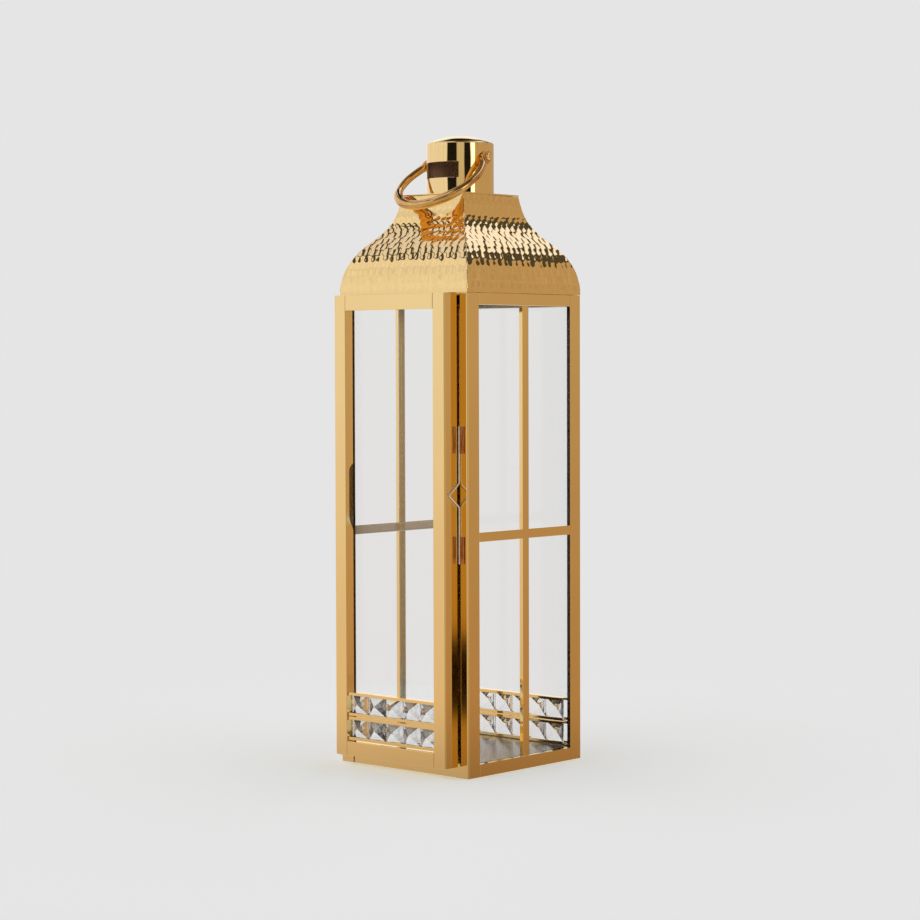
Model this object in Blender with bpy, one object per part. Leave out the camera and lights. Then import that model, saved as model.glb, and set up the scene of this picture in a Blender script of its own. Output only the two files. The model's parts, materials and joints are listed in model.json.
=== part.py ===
"""A tall square candle lantern of folded gold sheet, with glass sides, a hinged box door, bands of
pyramid-cut crystals, an ogee roof, a vented chimney and a bail handle.

Lengths are in millimetres up to the moment a mesh is made. X runs across the door, the door faces -Y
and Z is up. The body axis stands where the origin would be if the door didn't stand proud.
"""

import math

import bmesh
import bpy
from mathutils import Matrix, Vector
from mathutils.geometry import interpolate_bezier

MM = 0.001

# Clearances
SEAM = 0.2            # between strips that are brazed edge to edge
SEAT = 0.3            # between a piece and what it rests on
REACH = 2.0           # how far a cutter runs past what it cuts

# Body
BODY_WIDTH = 150.0    # across the outer faces of the posts
BODY_HEIGHT = 410.0   # floor to the top of the posts
SHEET = 1.2           # wall of every folded frame piece
BEND_RADIUS = 1.6     # outside radius of the corner folds
POST_WIDTH = 14.5     # width of each flange of a post
RETURN_DEPTH = 4.0    # how far window edges are turned inwards
SILL_HEIGHT = 11.0    # base rail
SILL_FLANGE = 12.0    # flange that the lantern stands on
FRONT_RECESS = 0.8    # the front rails lie behind the faces of the posts
TOP_RAIL_HEIGHT = 10.0
TOP_RAIL_FLANGE = 9.0
MUNTIN_WIDTH = 8.0
CROSS_DROP = 1.8      # the level muntin lies this much below the middle of the window
GLASS = 2.0

# Door
DOOR_HALF_WIDTH = 64.8
DOOR_DEPTH = 15.5
DOOR_GAP = 2.1        # between the posts and the back of the door
DOOR_BOTTOM = 9.5
DOOR_TOP_GAP = 0.3    # below the top of the posts
DOOR_SHEET = 1.2
DOOR_BEND = 1.5       # outside radius of the door's long edges
STILE_WIDTH = 13.5
DOOR_RETURN = 9.2     # depth of the inner return of the stiles and rails
DOOR_TOP_RAIL = 13.4
DOOR_BOTTOM_RAIL = 12.5

# Crystal bands
CRYSTAL_GIRDLE = 1.2
CRYSTAL_PEAK = 4.8
CRYSTAL_GAP = 0.3
CHANNEL_SHEET = 0.8
CHANNEL_HEIGHT = 20.4
CHANNEL_LIP = 2.6
CHANNEL_SPACE = 0.7   # between the two rows of a band
DOOR_BAND_RECESS = 1.5
DOOR_BAND_GAP = 1.2   # between the door's lower rail and its band
BACK_BAND_RECESS = 0.8
DOOR_CRYSTALS = 5     # in a row
BACK_CRYSTALS = 6

# Roof
ROOF_SHEET = 1.2
ROOF_HEIGHT = 86.0
ROOF_LIP = 6.0        # flange turned in at the foot of a panel
ROOF_CROWN_LIP = 5.0  # flange turned in at the head of a panel
ROOF_RISE = 22.0      # how long the foot of the ogee stays upright
SHOULDER_HALF = 53.0  # half width where the ogee turns from bulging to hollow
SHOULDER_HEIGHT = 49.0
SHOULDER_SLOPE = math.radians(46.0)
SHOULDER_BULGE = 20.0
SHOULDER_HOLLOW = 16.0
CROWN_HALF = 36.4
CROWN_RISE = 18.0     # how long the head of the ogee stays upright
CROWN_FLARE = 3.0
OGEE_STEPS = 9
PLATFORM_SHEET = 1.2
FLUE_STEP = 1.5       # the hole in the platform is this much inside the chimney's outer wall

# Chimney
CHIMNEY_RADIUS = 29.4
CHIMNEY_WALL = 1.2
CHIMNEY_HEIGHT = 43.4 # up to where the edge of the dome starts to round
DOME_RISE = 8.0
DOME_EDGE = 1.8       # radius of the edge
DOME_TILT = 25.0      # slope of the dome at its edge, in degrees
SLOT_SILL = 14.0      # above the platform
SLOT_HEIGHT = 13.7
SLOT_HALF_ANGLE = math.radians(39.3)
ROUND_STEPS = 48

# Handle
PIVOT_HEIGHT = 32.2   # above the platform
ROD_RADIUS = 3.3
EAR_THICKNESS = 2.6
EAR_WIDTH = 10.4
EAR_BEND = 5.0        # from the pivot to where the ear starts to bend out
EAR_LENGTH = 9.5      # from the pivot to where the ear ends and the rod starts
EAR_BLEND = 3.0
EAR_CLEARANCE = 0.6
BAIL_HALF_WIDTH = 41.0
BAIL_WIDEST = 32.4    # from the pivot to the widest place
BAIL_REACH = 69.2     # from the pivot to the middle of the grip
ARM_SHARE = 0.25      # the part of the bail's points that each arm takes
BAIL_STEPS = 64
PIN_RADIUS = 1.4
PIN_CLEARANCE = 0.3
PIN_HEAD_RADIUS = 3.2
PIN_HEAD_HEIGHT = 2.2

# Hinges
HINGE_OFFSET = 3.9    # from the pin's axis to the post and to the side of the door
HINGE_HEIGHT = 30.0
HINGE_LEAF = 0.8
KNUCKLE_RADIUS = 2.3
KNUCKLE_SHARE = 0.4   # the middle knuckle's share of the height
KNUCKLE_GAP = 0.4
HINGE_WEB = 1.6
POST_LEAF_WIDTH = 5.9
DOOR_LEAF_WIDTH = 10.0
HINGE_PIN_RADIUS = 1.0
HINGE_PIN_CLEARANCE = 0.3
HINGE_PIN_HEAD = 2.0
HINGE_PIN_HEAD_HEIGHT = 1.2
HINGE_INSET = 61.0    # from the middle of a hinge to the end of the door

# Latch spring
LATCH_WIRE = 1.3
LATCH_RISE = 30.0     # of the bow above the middle of the door
LATCH_LENGTH = 116.0
LATCH_BOW = 12.0
LATCH_BOW_HEIGHT = 20.0
LATCH_TAB_LENGTH = 23.0
LATCH_TAB_WIDTH = 5.6
LATCH_TAB_SHEET = 0.8
LATCH_CLEARANCE = 0.7

# Places that follow from the sizes above
HALF = BODY_WIDTH / 2
OPENING_HALF = HALF - POST_WIDTH
RAIL_HALF = OPENING_HALF - SEAM
TOP_RAIL_FOOT = BODY_HEIGHT - TOP_RAIL_HEIGHT
CROSS_HEIGHT = (SILL_HEIGHT + TOP_RAIL_FOOT) / 2 - CROSS_DROP
FLOOR_EDGE = SILL_HEIGHT - SHEET - SEAT
FLOOR_TOP = SILL_HEIGHT - SEAT
PANE_OUTER = HALF - RETURN_DEPTH - SEAT
PANE_INNER = PANE_OUTER - GLASS
DOOR_BACK = HALF + DOOR_GAP
DOOR_FRONT = DOOR_BACK + DOOR_DEPTH
DOOR_TOP = BODY_HEIGHT - DOOR_TOP_GAP
DOOR_OPENING_HALF = DOOR_HALF_WIDTH - STILE_WIDTH
CHANNEL_DEPTH = 2 * CHANNEL_SHEET + 2 * SEAT + CRYSTAL_GIRDLE + CRYSTAL_PEAK - 0.9
BAND_PITCH = CHANNEL_HEIGHT + CHANNEL_SPACE
BAND_BACK = HALF - BACK_BAND_RECESS - CHANNEL_DEPTH
DOOR_BAND_FOOT = DOOR_BOTTOM + DOOR_BOTTOM_RAIL + DOOR_BAND_GAP
BACK_BAND_FOOT = SILL_HEIGHT + SEAT
BAND_HEIGHT = BAND_PITCH + CHANNEL_HEIGHT
ROOF_FOOT = BODY_HEIGHT + SEAT
ROOF_HEAD = ROOF_FOOT + ROOF_HEIGHT
PLATFORM_TOP = ROOF_HEAD + SEAT + PLATFORM_SHEET
CHIMNEY_FOOT = PLATFORM_TOP + SEAT
PIVOT_Z = PLATFORM_TOP + PIVOT_HEIGHT
EAR_MIDDLE = CHIMNEY_RADIUS + EAR_CLEARANCE + EAR_THICKNESS / 2
HINGE_HEIGHTS = {"lower": DOOR_BOTTOM + HINGE_INSET, "upper": DOOR_TOP - HINGE_INSET}
LATCH_MIDDLE = (DOOR_BOTTOM + DOOR_TOP) / 2 + LATCH_RISE
HINGE_AXIS = Vector((-DOOR_HALF_WIDTH - HINGE_OFFSET, -HALF - HINGE_OFFSET, 0.0))
HANDLE_AXIS = Vector((0.0, 0.0, PIVOT_Z))
BODY_SHIFT = (DOOR_FRONT - HALF) / 2


# Materials

def material(name, colour, roughness, metallic, transmission=0.0):
    """A Principled material for one finish."""
    made = bpy.data.materials.new(name)
    made.use_nodes = True
    shader = made.node_tree.nodes["Principled BSDF"]
    shader.inputs["Base Color"].default_value = (*colour, 1.0)
    shader.inputs["Roughness"].default_value = roughness
    shader.inputs["Metallic"].default_value = metallic
    shader.inputs["Transmission Weight"].default_value = transmission
    made.diffuse_color = (*colour, 1.0)
    return made


def all_materials():
    """Every finish of the lantern, by name."""
    return {
        "gold": material("polished_gold", (0.83, 0.58, 0.24), 0.12, 1.0),
        "handle": material("antique_gold", (0.55, 0.33, 0.13), 0.25, 1.0),
        "floor": material("grey_steel", (0.32, 0.31, 0.29), 0.25, 1.0),
        "glass": material("clear_glass", (0.96, 0.98, 0.98), 0.02, 0.0, 1.0),
        "crystal": material("cut_crystal", (1.0, 1.0, 1.0), 0.0, 0.0, 1.0),
    }


# Making objects

def make_object(name, bm, finish, parent, offset=(0.0, 0.0, 0.0)):
    """Turns a bmesh in millimetres into an object in metres, hung from an empty."""
    bm.normal_update()
    bmesh.ops.recalc_face_normals(bm, faces=bm.faces)
    bmesh.ops.scale(bm, vec=(MM, MM, MM), verts=bm.verts)
    mesh = bpy.data.meshes.new(name)
    bm.to_mesh(mesh)
    bm.free()
    mesh.shade_smooth()
    mesh.set_sharp_from_angle(angle=math.radians(30.0))
    mesh.materials.append(finish)
    return place_mesh(name, mesh, parent, offset)


def place_mesh(name, mesh, parent, offset=(0.0, 0.0, 0.0)):
    """Links a mesh as an object at an offset in millimetres from its empty."""
    made = bpy.data.objects.new(name, mesh)
    bpy.context.scene.collection.objects.link(made)
    made.parent = parent
    made.location = Vector(offset) * MM
    return made


def make_empty(name, place, parent=None):
    """An empty that carries pieces: the lantern's axis or a joint's axis."""
    made = bpy.data.objects.new(name, None)
    bpy.context.scene.collection.objects.link(made)
    made.empty_display_size = 20 * MM
    made.parent = parent
    made.location = Vector(place) * MM
    return made


def box_mesh(low, high):
    """A box between two corners."""
    bm = bmesh.new()
    bmesh.ops.create_cube(bm, size=1.0)
    size = Vector(high) - Vector(low)
    middle = (Vector(high) + Vector(low)) / 2
    bmesh.ops.scale(bm, vec=size, verts=bm.verts)
    bmesh.ops.translate(bm, vec=middle, verts=bm.verts)
    return bm


def prism_mesh(outline, along, low, high):
    """A flat outline pulled out along X, Y or Z. The outline's two numbers are the other two axes in order."""
    place = {
        "X": lambda p, q: (low, p, q),
        "Y": lambda p, q: (p, low, q),
        "Z": lambda p, q: (p, q, low),
    }[along]
    pull = {"X": (1, 0, 0), "Y": (0, 1, 0), "Z": (0, 0, 1)}[along]
    bm = bmesh.new()
    face = bm.faces.new([bm.verts.new(place(p, q)) for p, q in outline])
    swept = bmesh.ops.extrude_face_region(bm, geom=[face], use_keep_orig=True)
    moved = [item for item in swept["geom"] if isinstance(item, bmesh.types.BMVert)]
    bmesh.ops.translate(bm, vec=Vector(pull) * (high - low), verts=moved)
    return bm


def lathe_mesh(profile, axis, steps=ROUND_STEPS):
    """A profile of (radius, height) points turned round the X or Z axis. Its ends lie on the axis."""
    turned = {"Z": lambda r, h: (r, 0.0, h), "X": lambda r, h: (h, 0.0, r)}[axis]
    pole = {"Z": (0, 0, 1), "X": (1, 0, 0)}[axis]
    bm = bmesh.new()
    verts = [bm.verts.new(turned(r, h)) for r, h in profile]
    edges = [bm.edges.new(pair) for pair in zip(verts, verts[1:])]
    bmesh.ops.spin(bm, geom=verts + edges, cent=(0, 0, 0), axis=pole, angle=math.tau,
                   steps=steps, use_merge=True)
    bmesh.ops.remove_doubles(bm, verts=bm.verts, dist=0.001)
    return bm


def cylinder_mesh(radius, low, high, axis, steps=ROUND_STEPS):
    """A plain cylinder round the X or Z axis."""
    return lathe_mesh([(0.0, low), (radius, low), (radius, high), (0.0, high)], axis, steps)


def helper(name, bm, parent, offset=(0.0, 0.0, 0.0)):
    """A cutting shape, which isn't part of the lantern."""
    tool = make_object(name, bm, None, parent, offset)
    tool.data.materials.clear()
    tool.hide_render = True
    tool.display_type = "WIRE"
    return tool


def combine(target, tool, operation):
    """Cuts a helper out of a piece, or joins it on."""
    change = target.modifiers.new(tool.name, "BOOLEAN")
    change.operation = operation
    change.solver = "EXACT"
    change.object = tool


# Folded sheet

def round_corners(path, radii, steps=4):
    """Replaces corners of a path by arcs. radii maps a point's number to its radius."""
    points = []
    for number, point in enumerate(path):
        here = Vector(point)
        radius = radii.get(number, 0.0)
        if radius == 0.0:
            points.append(here)
            continue
        before = (Vector(path[number - 1]) - here).normalized()
        after = (Vector(path[number + 1]) - here).normalized()
        half = before.angle(after) / 2
        centre = here + (before + after).normalized() * radius / math.sin(half)
        first = here + before * radius / math.tan(half)
        last = here + after * radius / math.tan(half)
        sweep = (first - centre).angle_signed(last - centre)
        for step in range(steps + 1):
            turn = -sweep * step / steps
            arm = first - centre
            points.append(centre + Vector((
                arm.x * math.cos(turn) - arm.y * math.sin(turn),
                arm.x * math.sin(turn) + arm.y * math.cos(turn),
            )))
    return points


def fold(path, sheet):
    """The outline of sheet folded along a path of 2D points, with its thickness on the path's left."""
    points = [Vector(point) for point in path]
    normals = []
    for first, second in zip(points, points[1:]):
        run = (second - first).normalized()
        normals.append(Vector((-run.y, run.x)))
    inner = [points[0] + normals[0] * sheet]
    for number in range(1, len(points) - 1):
        left, right = normals[number - 1], normals[number]
        inner.append(points[number] + (left + right) * sheet / (1 + left.dot(right)))
    inner.append(points[-1] + normals[-1] * sheet)
    return points + inner[::-1]


def mirrored(outline, first=1, second=1):
    """An outline with either of its two numbers turned round."""
    return [(first * p, second * q) for p, q in outline]


# Body frame

def posts(parts, finish, lantern):
    """Four corner angles. Each side flange has its window edge turned in."""
    path = [
        (HALF - RETURN_DEPTH, OPENING_HALF),
        (HALF, OPENING_HALF),
        (HALF, HALF),
        (OPENING_HALF, HALF),
    ]
    outline = fold(round_corners(path, {2: BEND_RADIUS}), SHEET)
    for side, across in (("left", -1), ("right", 1)):
        for end, along in (("front", -1), ("back", 1)):
            bm = prism_mesh(mirrored(outline, across, along), "Z", 0.0, BODY_HEIGHT)
            name = f"post_{end}_{side}"
            parts[name] = make_object(name, bm, finish["gold"], lantern)


def sill_outline(face):
    """A base rail seen from its end: a flange to stand on, the face, and the top edge turned in."""
    return fold([
        (face - RETURN_DEPTH, SILL_HEIGHT),
        (face, SILL_HEIGHT),
        (face, 0.0),
        (face - SILL_FLANGE, 0.0),
    ][::-1], SHEET)


def top_rail_outline(face):
    """A top rail seen from its end, with a wider flange on top that carries the roof."""
    return fold([
        (face - RETURN_DEPTH, TOP_RAIL_FOOT),
        (face, TOP_RAIL_FOOT),
        (face, BODY_HEIGHT),
        (face - TOP_RAIL_FLANGE, BODY_HEIGHT),
    ], SHEET)


def rails(parts, finish, lantern):
    """Base rails and top rails, butted between the posts."""
    for label, outline_of in (("sill", sill_outline), ("top_rail", top_rail_outline)):
        for side, across in (("left", -1), ("right", 1)):
            bm = prism_mesh(mirrored(outline_of(HALF), across), "Y", -RAIL_HALF, RAIL_HALF)
            parts[f"{label}_{side}"] = make_object(f"{label}_{side}", bm, finish["gold"], lantern)
        for side, along, face in (("front", -1, HALF - FRONT_RECESS), ("back", 1, HALF)):
            bm = prism_mesh(mirrored(outline_of(face), along), "X", -RAIL_HALF, RAIL_HALF)
            parts[f"{label}_{side}"] = make_object(f"{label}_{side}", bm, finish["gold"], lantern)


def floor_pan(parts, finish, lantern):
    """The floor: a pan turned upside down. Its edge lies under the base rails' turned-in edges and carries
    the panes, and its raised middle, inside the panes, is flush with the rails."""
    edge = PANE_OUTER
    side = PANE_INNER - SEAT
    front = -(HALF - FRONT_RECESS - RETURN_DEPTH - SEAT)
    back = BAND_BACK - SEAT
    foot = SHEET + SEAT
    pan = make_object("floor_pan", box_mesh((-edge, -edge, foot), (edge, edge, FLOOR_EDGE)),
                      finish["floor"], lantern)
    middle = box_mesh((-side, front, FLOOR_EDGE - SHEET / 2), (side, back, FLOOR_TOP))
    combine(pan, helper("floor_pan_middle", middle, lantern), "UNION")
    room = edge - SHEET
    under = box_mesh((-room, -room, foot - REACH), (room, room, FLOOR_EDGE - SHEET))
    combine(pan, helper("floor_pan_hollow", under, lantern), "DIFFERENCE")
    raised = box_mesh((SHEET - side, front + SHEET, FLOOR_EDGE - SHEET * 1.5),
                      (side - SHEET, back - SHEET, FLOOR_TOP - SHEET))
    combine(pan, helper("floor_pan_raised_hollow", raised, lantern), "DIFFERENCE")
    parts["floor_pan"] = pan


def muntin_path(middle, half):
    """The path of a bar of channel section, as (depth, place) points, open to the inside."""
    return [
        (HALF - RETURN_DEPTH, middle - half),
        (HALF, middle - half),
        (HALF, middle + half),
        (HALF - RETURN_DEPTH, middle + half),
    ]


def muntin_crosses(parts, finish, lantern):
    """The cross of glazing bars on each side face, flush with the posts."""
    half = MUNTIN_WIDTH / 2
    upright = fold(muntin_path(0.0, half), SHEET)
    level = fold(muntin_path(CROSS_HEIGHT, half), SHEET)
    foot = SILL_HEIGHT + SEAM
    head = TOP_RAIL_FOOT - SEAM
    for side, across in (("left", -1), ("right", 1)):
        name = f"muntin_cross_{side}"
        cross = make_object(name, prism_mesh(mirrored(upright, across), "Z", foot, head),
                            finish["gold"], lantern)
        bar = helper(f"{name}_bar", prism_mesh(mirrored(level, across), "Y", -RAIL_HALF, RAIL_HALF), lantern)
        combine(cross, bar, "UNION")
        parts[name] = cross


def body_glass(parts, finish, lantern):
    """Three panes behind the turned-in edges. The back pane stands on the crystal band."""
    foot = FLOOR_EDGE + SEAT
    head = BODY_HEIGHT - SHEET - SEAT
    run = HALF - SHEET - SEAT
    for side, across in (("left", -1), ("right", 1)):
        faces = sorted((across * PANE_INNER, across * PANE_OUTER))
        bm = box_mesh((faces[0], -run, foot), (faces[1], run, head))
        parts[f"glass_{side}"] = make_object(f"glass_{side}", bm, finish["glass"], lantern)
    reach = PANE_INNER - SEAT
    band_head = BACK_BAND_FOOT + BAND_HEIGHT
    bm = box_mesh((-reach, PANE_INNER, band_head + SEAT), (reach, PANE_OUTER, head))
    parts["glass_back"] = make_object("glass_back", bm, finish["glass"], lantern)


# Crystal bands

def crystal_mesh(width, height):
    """One crystal: a flat-backed square with a low pyramid on its face, which looks along -Y."""
    bm = box_mesh((-width / 2, 0.0, -height / 2), (width / 2, CRYSTAL_GIRDLE, height / 2))
    front = min(bm.faces, key=lambda face: face.calc_center_median().y)
    bmesh.ops.poke(bm, faces=[front])
    peak = min(bm.verts, key=lambda vert: vert.co.xz.length)
    peak.co.y -= CRYSTAL_PEAK
    return bm


def crystal_bar_mesh(count, pitch, height):
    """A row of crystals cast as one bar, which looks along +Y."""
    bm = bmesh.new()
    bmesh.ops.create_grid(bm, x_segments=count, y_segments=1, size=0.5)
    width = count * pitch - CRYSTAL_GAP
    bmesh.ops.scale(bm, vec=(width, height, 1.0), verts=bm.verts)
    cells = list(bm.faces)
    swept = bmesh.ops.extrude_face_region(bm, geom=cells, use_keep_orig=True)
    moved = [item for item in swept["geom"] if isinstance(item, bmesh.types.BMVert)]
    bmesh.ops.translate(bm, vec=(0.0, 0.0, -CRYSTAL_GIRDLE), verts=moved)
    poked = bmesh.ops.poke(bm, faces=cells)
    bmesh.ops.translate(bm, vec=(0.0, 0.0, CRYSTAL_PEAK), verts=poked["verts"])
    bmesh.ops.rotate(bm, cent=(0, 0, 0), matrix=Matrix.Rotation(-math.pi / 2, 3, "X"), verts=bm.verts)
    return bm


def channel_outline(face, foot, upward):
    """A crystal channel seen from its end: two lips and the web between them, at a depth behind a face."""
    lip = foot + upward * CHANNEL_LIP
    path = [(face, lip), (face, foot), (face - CHANNEL_DEPTH, foot), (face - CHANNEL_DEPTH, lip)]
    return fold(path if upward < 0 else path[::-1], CHANNEL_SHEET)


def channels(parts, finish, owner, parent, offset, face, foot, reach, along):
    """The four channels of a band, two for each row, which grip the crystals' edges."""
    for row, row_foot in (("lower", foot), ("upper", foot + BAND_PITCH)):
        for edge, height, upward in (("bottom", row_foot, 1), ("top", row_foot + CHANNEL_HEIGHT, -1)):
            name = f"{owner}_crystal_channel_{row}_{edge}"
            outline = mirrored(channel_outline(face, height, upward), along)
            bm = prism_mesh(outline, "X", -reach, reach)
            parts[name] = make_object(name, bm, finish["gold"], parent, offset)


def crystal_height():
    """What the two channels of a row leave for a crystal."""
    return CHANNEL_HEIGHT - 2 * (CHANNEL_SHEET + SEAT)


def door_band(parts, finish, door):
    """Two rows of separate crystals across the foot of the door."""
    face = DOOR_FRONT - DOOR_BAND_RECESS
    reach = DOOR_OPENING_HALF - SEAT
    channels(parts, finish, "door", door, -HINGE_AXIS, face, DOOR_BAND_FOOT, reach, -1)
    pitch = 2 * reach / DOOR_CRYSTALS
    shape = crystal_mesh(pitch - CRYSTAL_GAP, crystal_height())
    back = -face + CHANNEL_DEPTH - CHANNEL_SHEET - SEAT - CRYSTAL_GIRDLE
    first = make_object("door_crystal_lower_1", shape, finish["crystal"], door)
    for row, foot in (("lower", DOOR_BAND_FOOT), ("upper", DOOR_BAND_FOOT + BAND_PITCH)):
        for number in range(DOOR_CRYSTALS):
            name = f"door_crystal_{row}_{number + 1}"
            piece = first if name == first.name else place_mesh(name, first.data, door)
            place = Vector(((number + 0.5) * pitch - reach, back, foot + CHANNEL_HEIGHT / 2))
            piece.location = (place - HINGE_AXIS) * MM
            parts[name] = piece


def back_band(parts, finish, lantern):
    """Two rows of crystals across the foot of the back, each row one cast bar."""
    face = HALF - BACK_BAND_RECESS
    reach = OPENING_HALF - SEAT
    channels(parts, finish, "back", lantern, (0, 0, 0), face, BACK_BAND_FOOT, reach, 1)
    pitch = 2 * reach / BACK_CRYSTALS
    seat = BAND_BACK + CHANNEL_SHEET + SEAT + CRYSTAL_GIRDLE
    for row, foot in (("lower", BACK_BAND_FOOT), ("upper", BACK_BAND_FOOT + BAND_PITCH)):
        bm = crystal_bar_mesh(BACK_CRYSTALS, pitch, crystal_height())
        name = f"back_crystal_bar_{row}"
        place = (0.0, seat, foot + CHANNEL_HEIGHT / 2)
        parts[name] = make_object(name, bm, finish["crystal"], lantern, place)


# Roof

def ogee():
    """The roof's outline as (half width, height) points: it bulges over the body, then hollows to the crown."""
    shoulder = Vector((SHOULDER_HALF, SHOULDER_HEIGHT))
    slope = Vector((-math.cos(SHOULDER_SLOPE), math.sin(SHOULDER_SLOPE)))
    crown = Vector((CROWN_HALF, ROOF_HEIGHT))
    lower = interpolate_bezier(
        Vector((HALF, 0.0)), Vector((HALF, ROOF_RISE)), shoulder - slope * SHOULDER_BULGE, shoulder, OGEE_STEPS)
    upper = interpolate_bezier(
        shoulder, shoulder + slope * SHOULDER_HOLLOW, crown + Vector((CROWN_FLARE, -CROWN_RISE)), crown, OGEE_STEPS)
    return [Vector(point[:2]) for point in lower] + [Vector(point[:2]) for point in upper[1:]]


def roof_outline():
    """A roof panel seen from its end, with a flange turned in at its foot and at its head."""
    curve = ogee()
    path = [Vector((HALF - ROOF_LIP, 0.0)), *curve, Vector((CROWN_HALF - ROOF_CROWN_LIP, ROOF_HEIGHT))]
    return [(point.x, point.y + ROOF_FOOT) for point in fold(path, ROOF_SHEET)]


def mitre(bm, normal):
    """Cuts a panel's end along a ridge, a vertical plane near the lantern's axis, and closes it."""
    point = Vector(normal) * -SEAM / 2
    cut = bmesh.ops.bisect_plane(
        bm, geom=bm.verts[:] + bm.edges[:] + bm.faces[:], dist=1e-5,
        plane_co=point, plane_no=normal, clear_outer=True)
    edges = [item for item in cut["geom_cut"] if isinstance(item, bmesh.types.BMEdge)]
    bmesh.ops.contextual_create(bm, geom=edges)


def roof_panels(parts, finish, lantern):
    """Four ogee panels that meet at mitred ridges."""
    diagonal = math.sqrt(0.5)
    for side, turn in (("right", 0), ("back", 1), ("left", 2), ("front", 3)):
        bm = prism_mesh(roof_outline(), "Y", -HALF - REACH, HALF + REACH)
        mitre(bm, (-diagonal, diagonal, 0.0))
        mitre(bm, (-diagonal, -diagonal, 0.0))
        name = f"roof_panel_{side}"
        parts[name] = make_object(name, bm, finish["gold"], lantern)
        parts[name].rotation_euler.z = turn * math.pi / 2


def roof_platform(parts, finish, lantern):
    """The flat square plate on top of the roof, with a hole for the rising heat."""
    foot = ROOF_HEAD + SEAT
    plate = make_object(
        "roof_platform", box_mesh((-CROWN_HALF, -CROWN_HALF, foot), (CROWN_HALF, CROWN_HALF, PLATFORM_TOP)),
        finish["gold"], lantern)
    hole = cylinder_mesh(CHIMNEY_RADIUS - FLUE_STEP, foot - REACH, PLATFORM_TOP + REACH, "Z")
    combine(plate, helper("roof_platform_hole", hole, lantern), "DIFFERENCE")
    parts["roof_platform"] = plate


# Chimney

def cup_line(wall):
    """The cup's outline at a depth of wall inside its outer face, from the edge of the dome to its top."""
    edge = Vector((CHIMNEY_RADIUS - DOME_EDGE, CHIMNEY_FOOT + CHIMNEY_HEIGHT))
    top = edge.y + DOME_RISE
    steps = 4
    tilt = math.radians(DOME_TILT)
    line = []
    for step in range(steps + 1):
        turn = (math.pi / 2 - tilt) * step / steps
        line.append(edge + (DOME_EDGE - wall) * Vector((math.cos(turn), math.sin(turn))))
    shoulder = line[-1]
    for step in range(1, 2 * steps + 1):
        share = step / (2 * steps)
        lift = (top - wall - shoulder.y) * (1 - (1 - share) ** 2)
        line.append(Vector((shoulder.x * (1 - share), shoulder.y + lift)))
    return [(max(point.x, 0.0), point.y) for point in line]


def chimney_profile():
    """Half of the chimney's section: down the inside from the top of the dome, and up the outside."""
    room = CHIMNEY_RADIUS - CHIMNEY_WALL
    inside = cup_line(CHIMNEY_WALL)[::-1]
    return inside + [(room, CHIMNEY_FOOT), (CHIMNEY_RADIUS, CHIMNEY_FOOT)] + cup_line(0.0)


def slot_outline(middle):
    """A vent slot seen from above: a ring sector that spans the chimney's wall."""
    near = CHIMNEY_RADIUS - CHIMNEY_WALL - REACH
    far = CHIMNEY_RADIUS + REACH
    steps = 10
    turns = [middle + SLOT_HALF_ANGLE * (2 * step / steps - 1) for step in range(steps + 1)]
    return ([(far * math.cos(turn), far * math.sin(turn)) for turn in turns]
            + [(near * math.cos(turn), near * math.sin(turn)) for turn in reversed(turns)])


def chimney(parts, finish, lantern):
    """The drawn chimney cup, closed by its dome, with a vent slot front and back and holes for the pins."""
    made = make_object("chimney", lathe_mesh(chimney_profile(), "Z"), finish["gold"], lantern)
    sill = PLATFORM_TOP + SLOT_SILL
    for side, middle in (("front", -math.pi / 2), ("back", math.pi / 2)):
        bm = prism_mesh(slot_outline(middle), "Z", sill, sill + SLOT_HEIGHT)
        combine(made, helper(f"chimney_slot_{side}", bm, lantern), "DIFFERENCE")
    reach = CHIMNEY_RADIUS + REACH
    hole = cylinder_mesh(PIN_RADIUS + PIN_CLEARANCE, -reach, reach, "X", 16)
    combine(made, helper("chimney_pin_holes", hole, lantern, HANDLE_AXIS), "DIFFERENCE")
    parts["chimney"] = made


# Handle

def bail_point(turn):
    """A point of the bail's middle line, from one pivot at 0 to the other at 1, in its own flat plane."""
    side = 1 if turn < 0.5 else -1
    share = min(turn, 1 - turn)
    if share < ARM_SHARE:
        along = BAIL_WIDEST * share / ARM_SHARE
        bend = max(along - EAR_BEND, 0.0) / (BAIL_WIDEST - EAR_BEND)
        out = EAR_MIDDLE + (BAIL_HALF_WIDTH - EAR_MIDDLE) * math.sin(bend * math.pi / 2)
        return Vector((side * out, -along, 0.0))
    angle = (share - ARM_SHARE) / (0.5 - ARM_SHARE) * math.pi / 2
    return Vector((side * BAIL_HALF_WIDTH * math.cos(angle),
                   -BAIL_WIDEST - (BAIL_REACH - BAIL_WIDEST) * math.sin(angle), 0.0))


def bail_section(distance):
    """Half thickness and half width of the rod at a distance from the pivot: a flat ear, then a round rod."""
    share = min(max((distance - EAR_LENGTH) / EAR_BLEND, 0.0), 1.0)
    blend = share * share * (3 - 2 * share)
    thick = EAR_THICKNESS / 2 + (ROD_RADIUS - EAR_THICKNESS / 2) * blend
    wide = EAR_WIDTH / 2 + (ROD_RADIUS - EAR_WIDTH / 2) * blend
    return thick, wide


def bail_ring(bm, centre, across, thick, wide, sides=12):
    """One ring of vertices round the bail's middle line."""
    ring = []
    for number in range(sides):
        turn = math.tau * (number + 0.5) / sides
        offset = across * thick * math.cos(turn) + Vector((0.0, 0.0, wide * math.sin(turn)))
        ring.append(bm.verts.new(centre + offset))
    return ring


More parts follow.
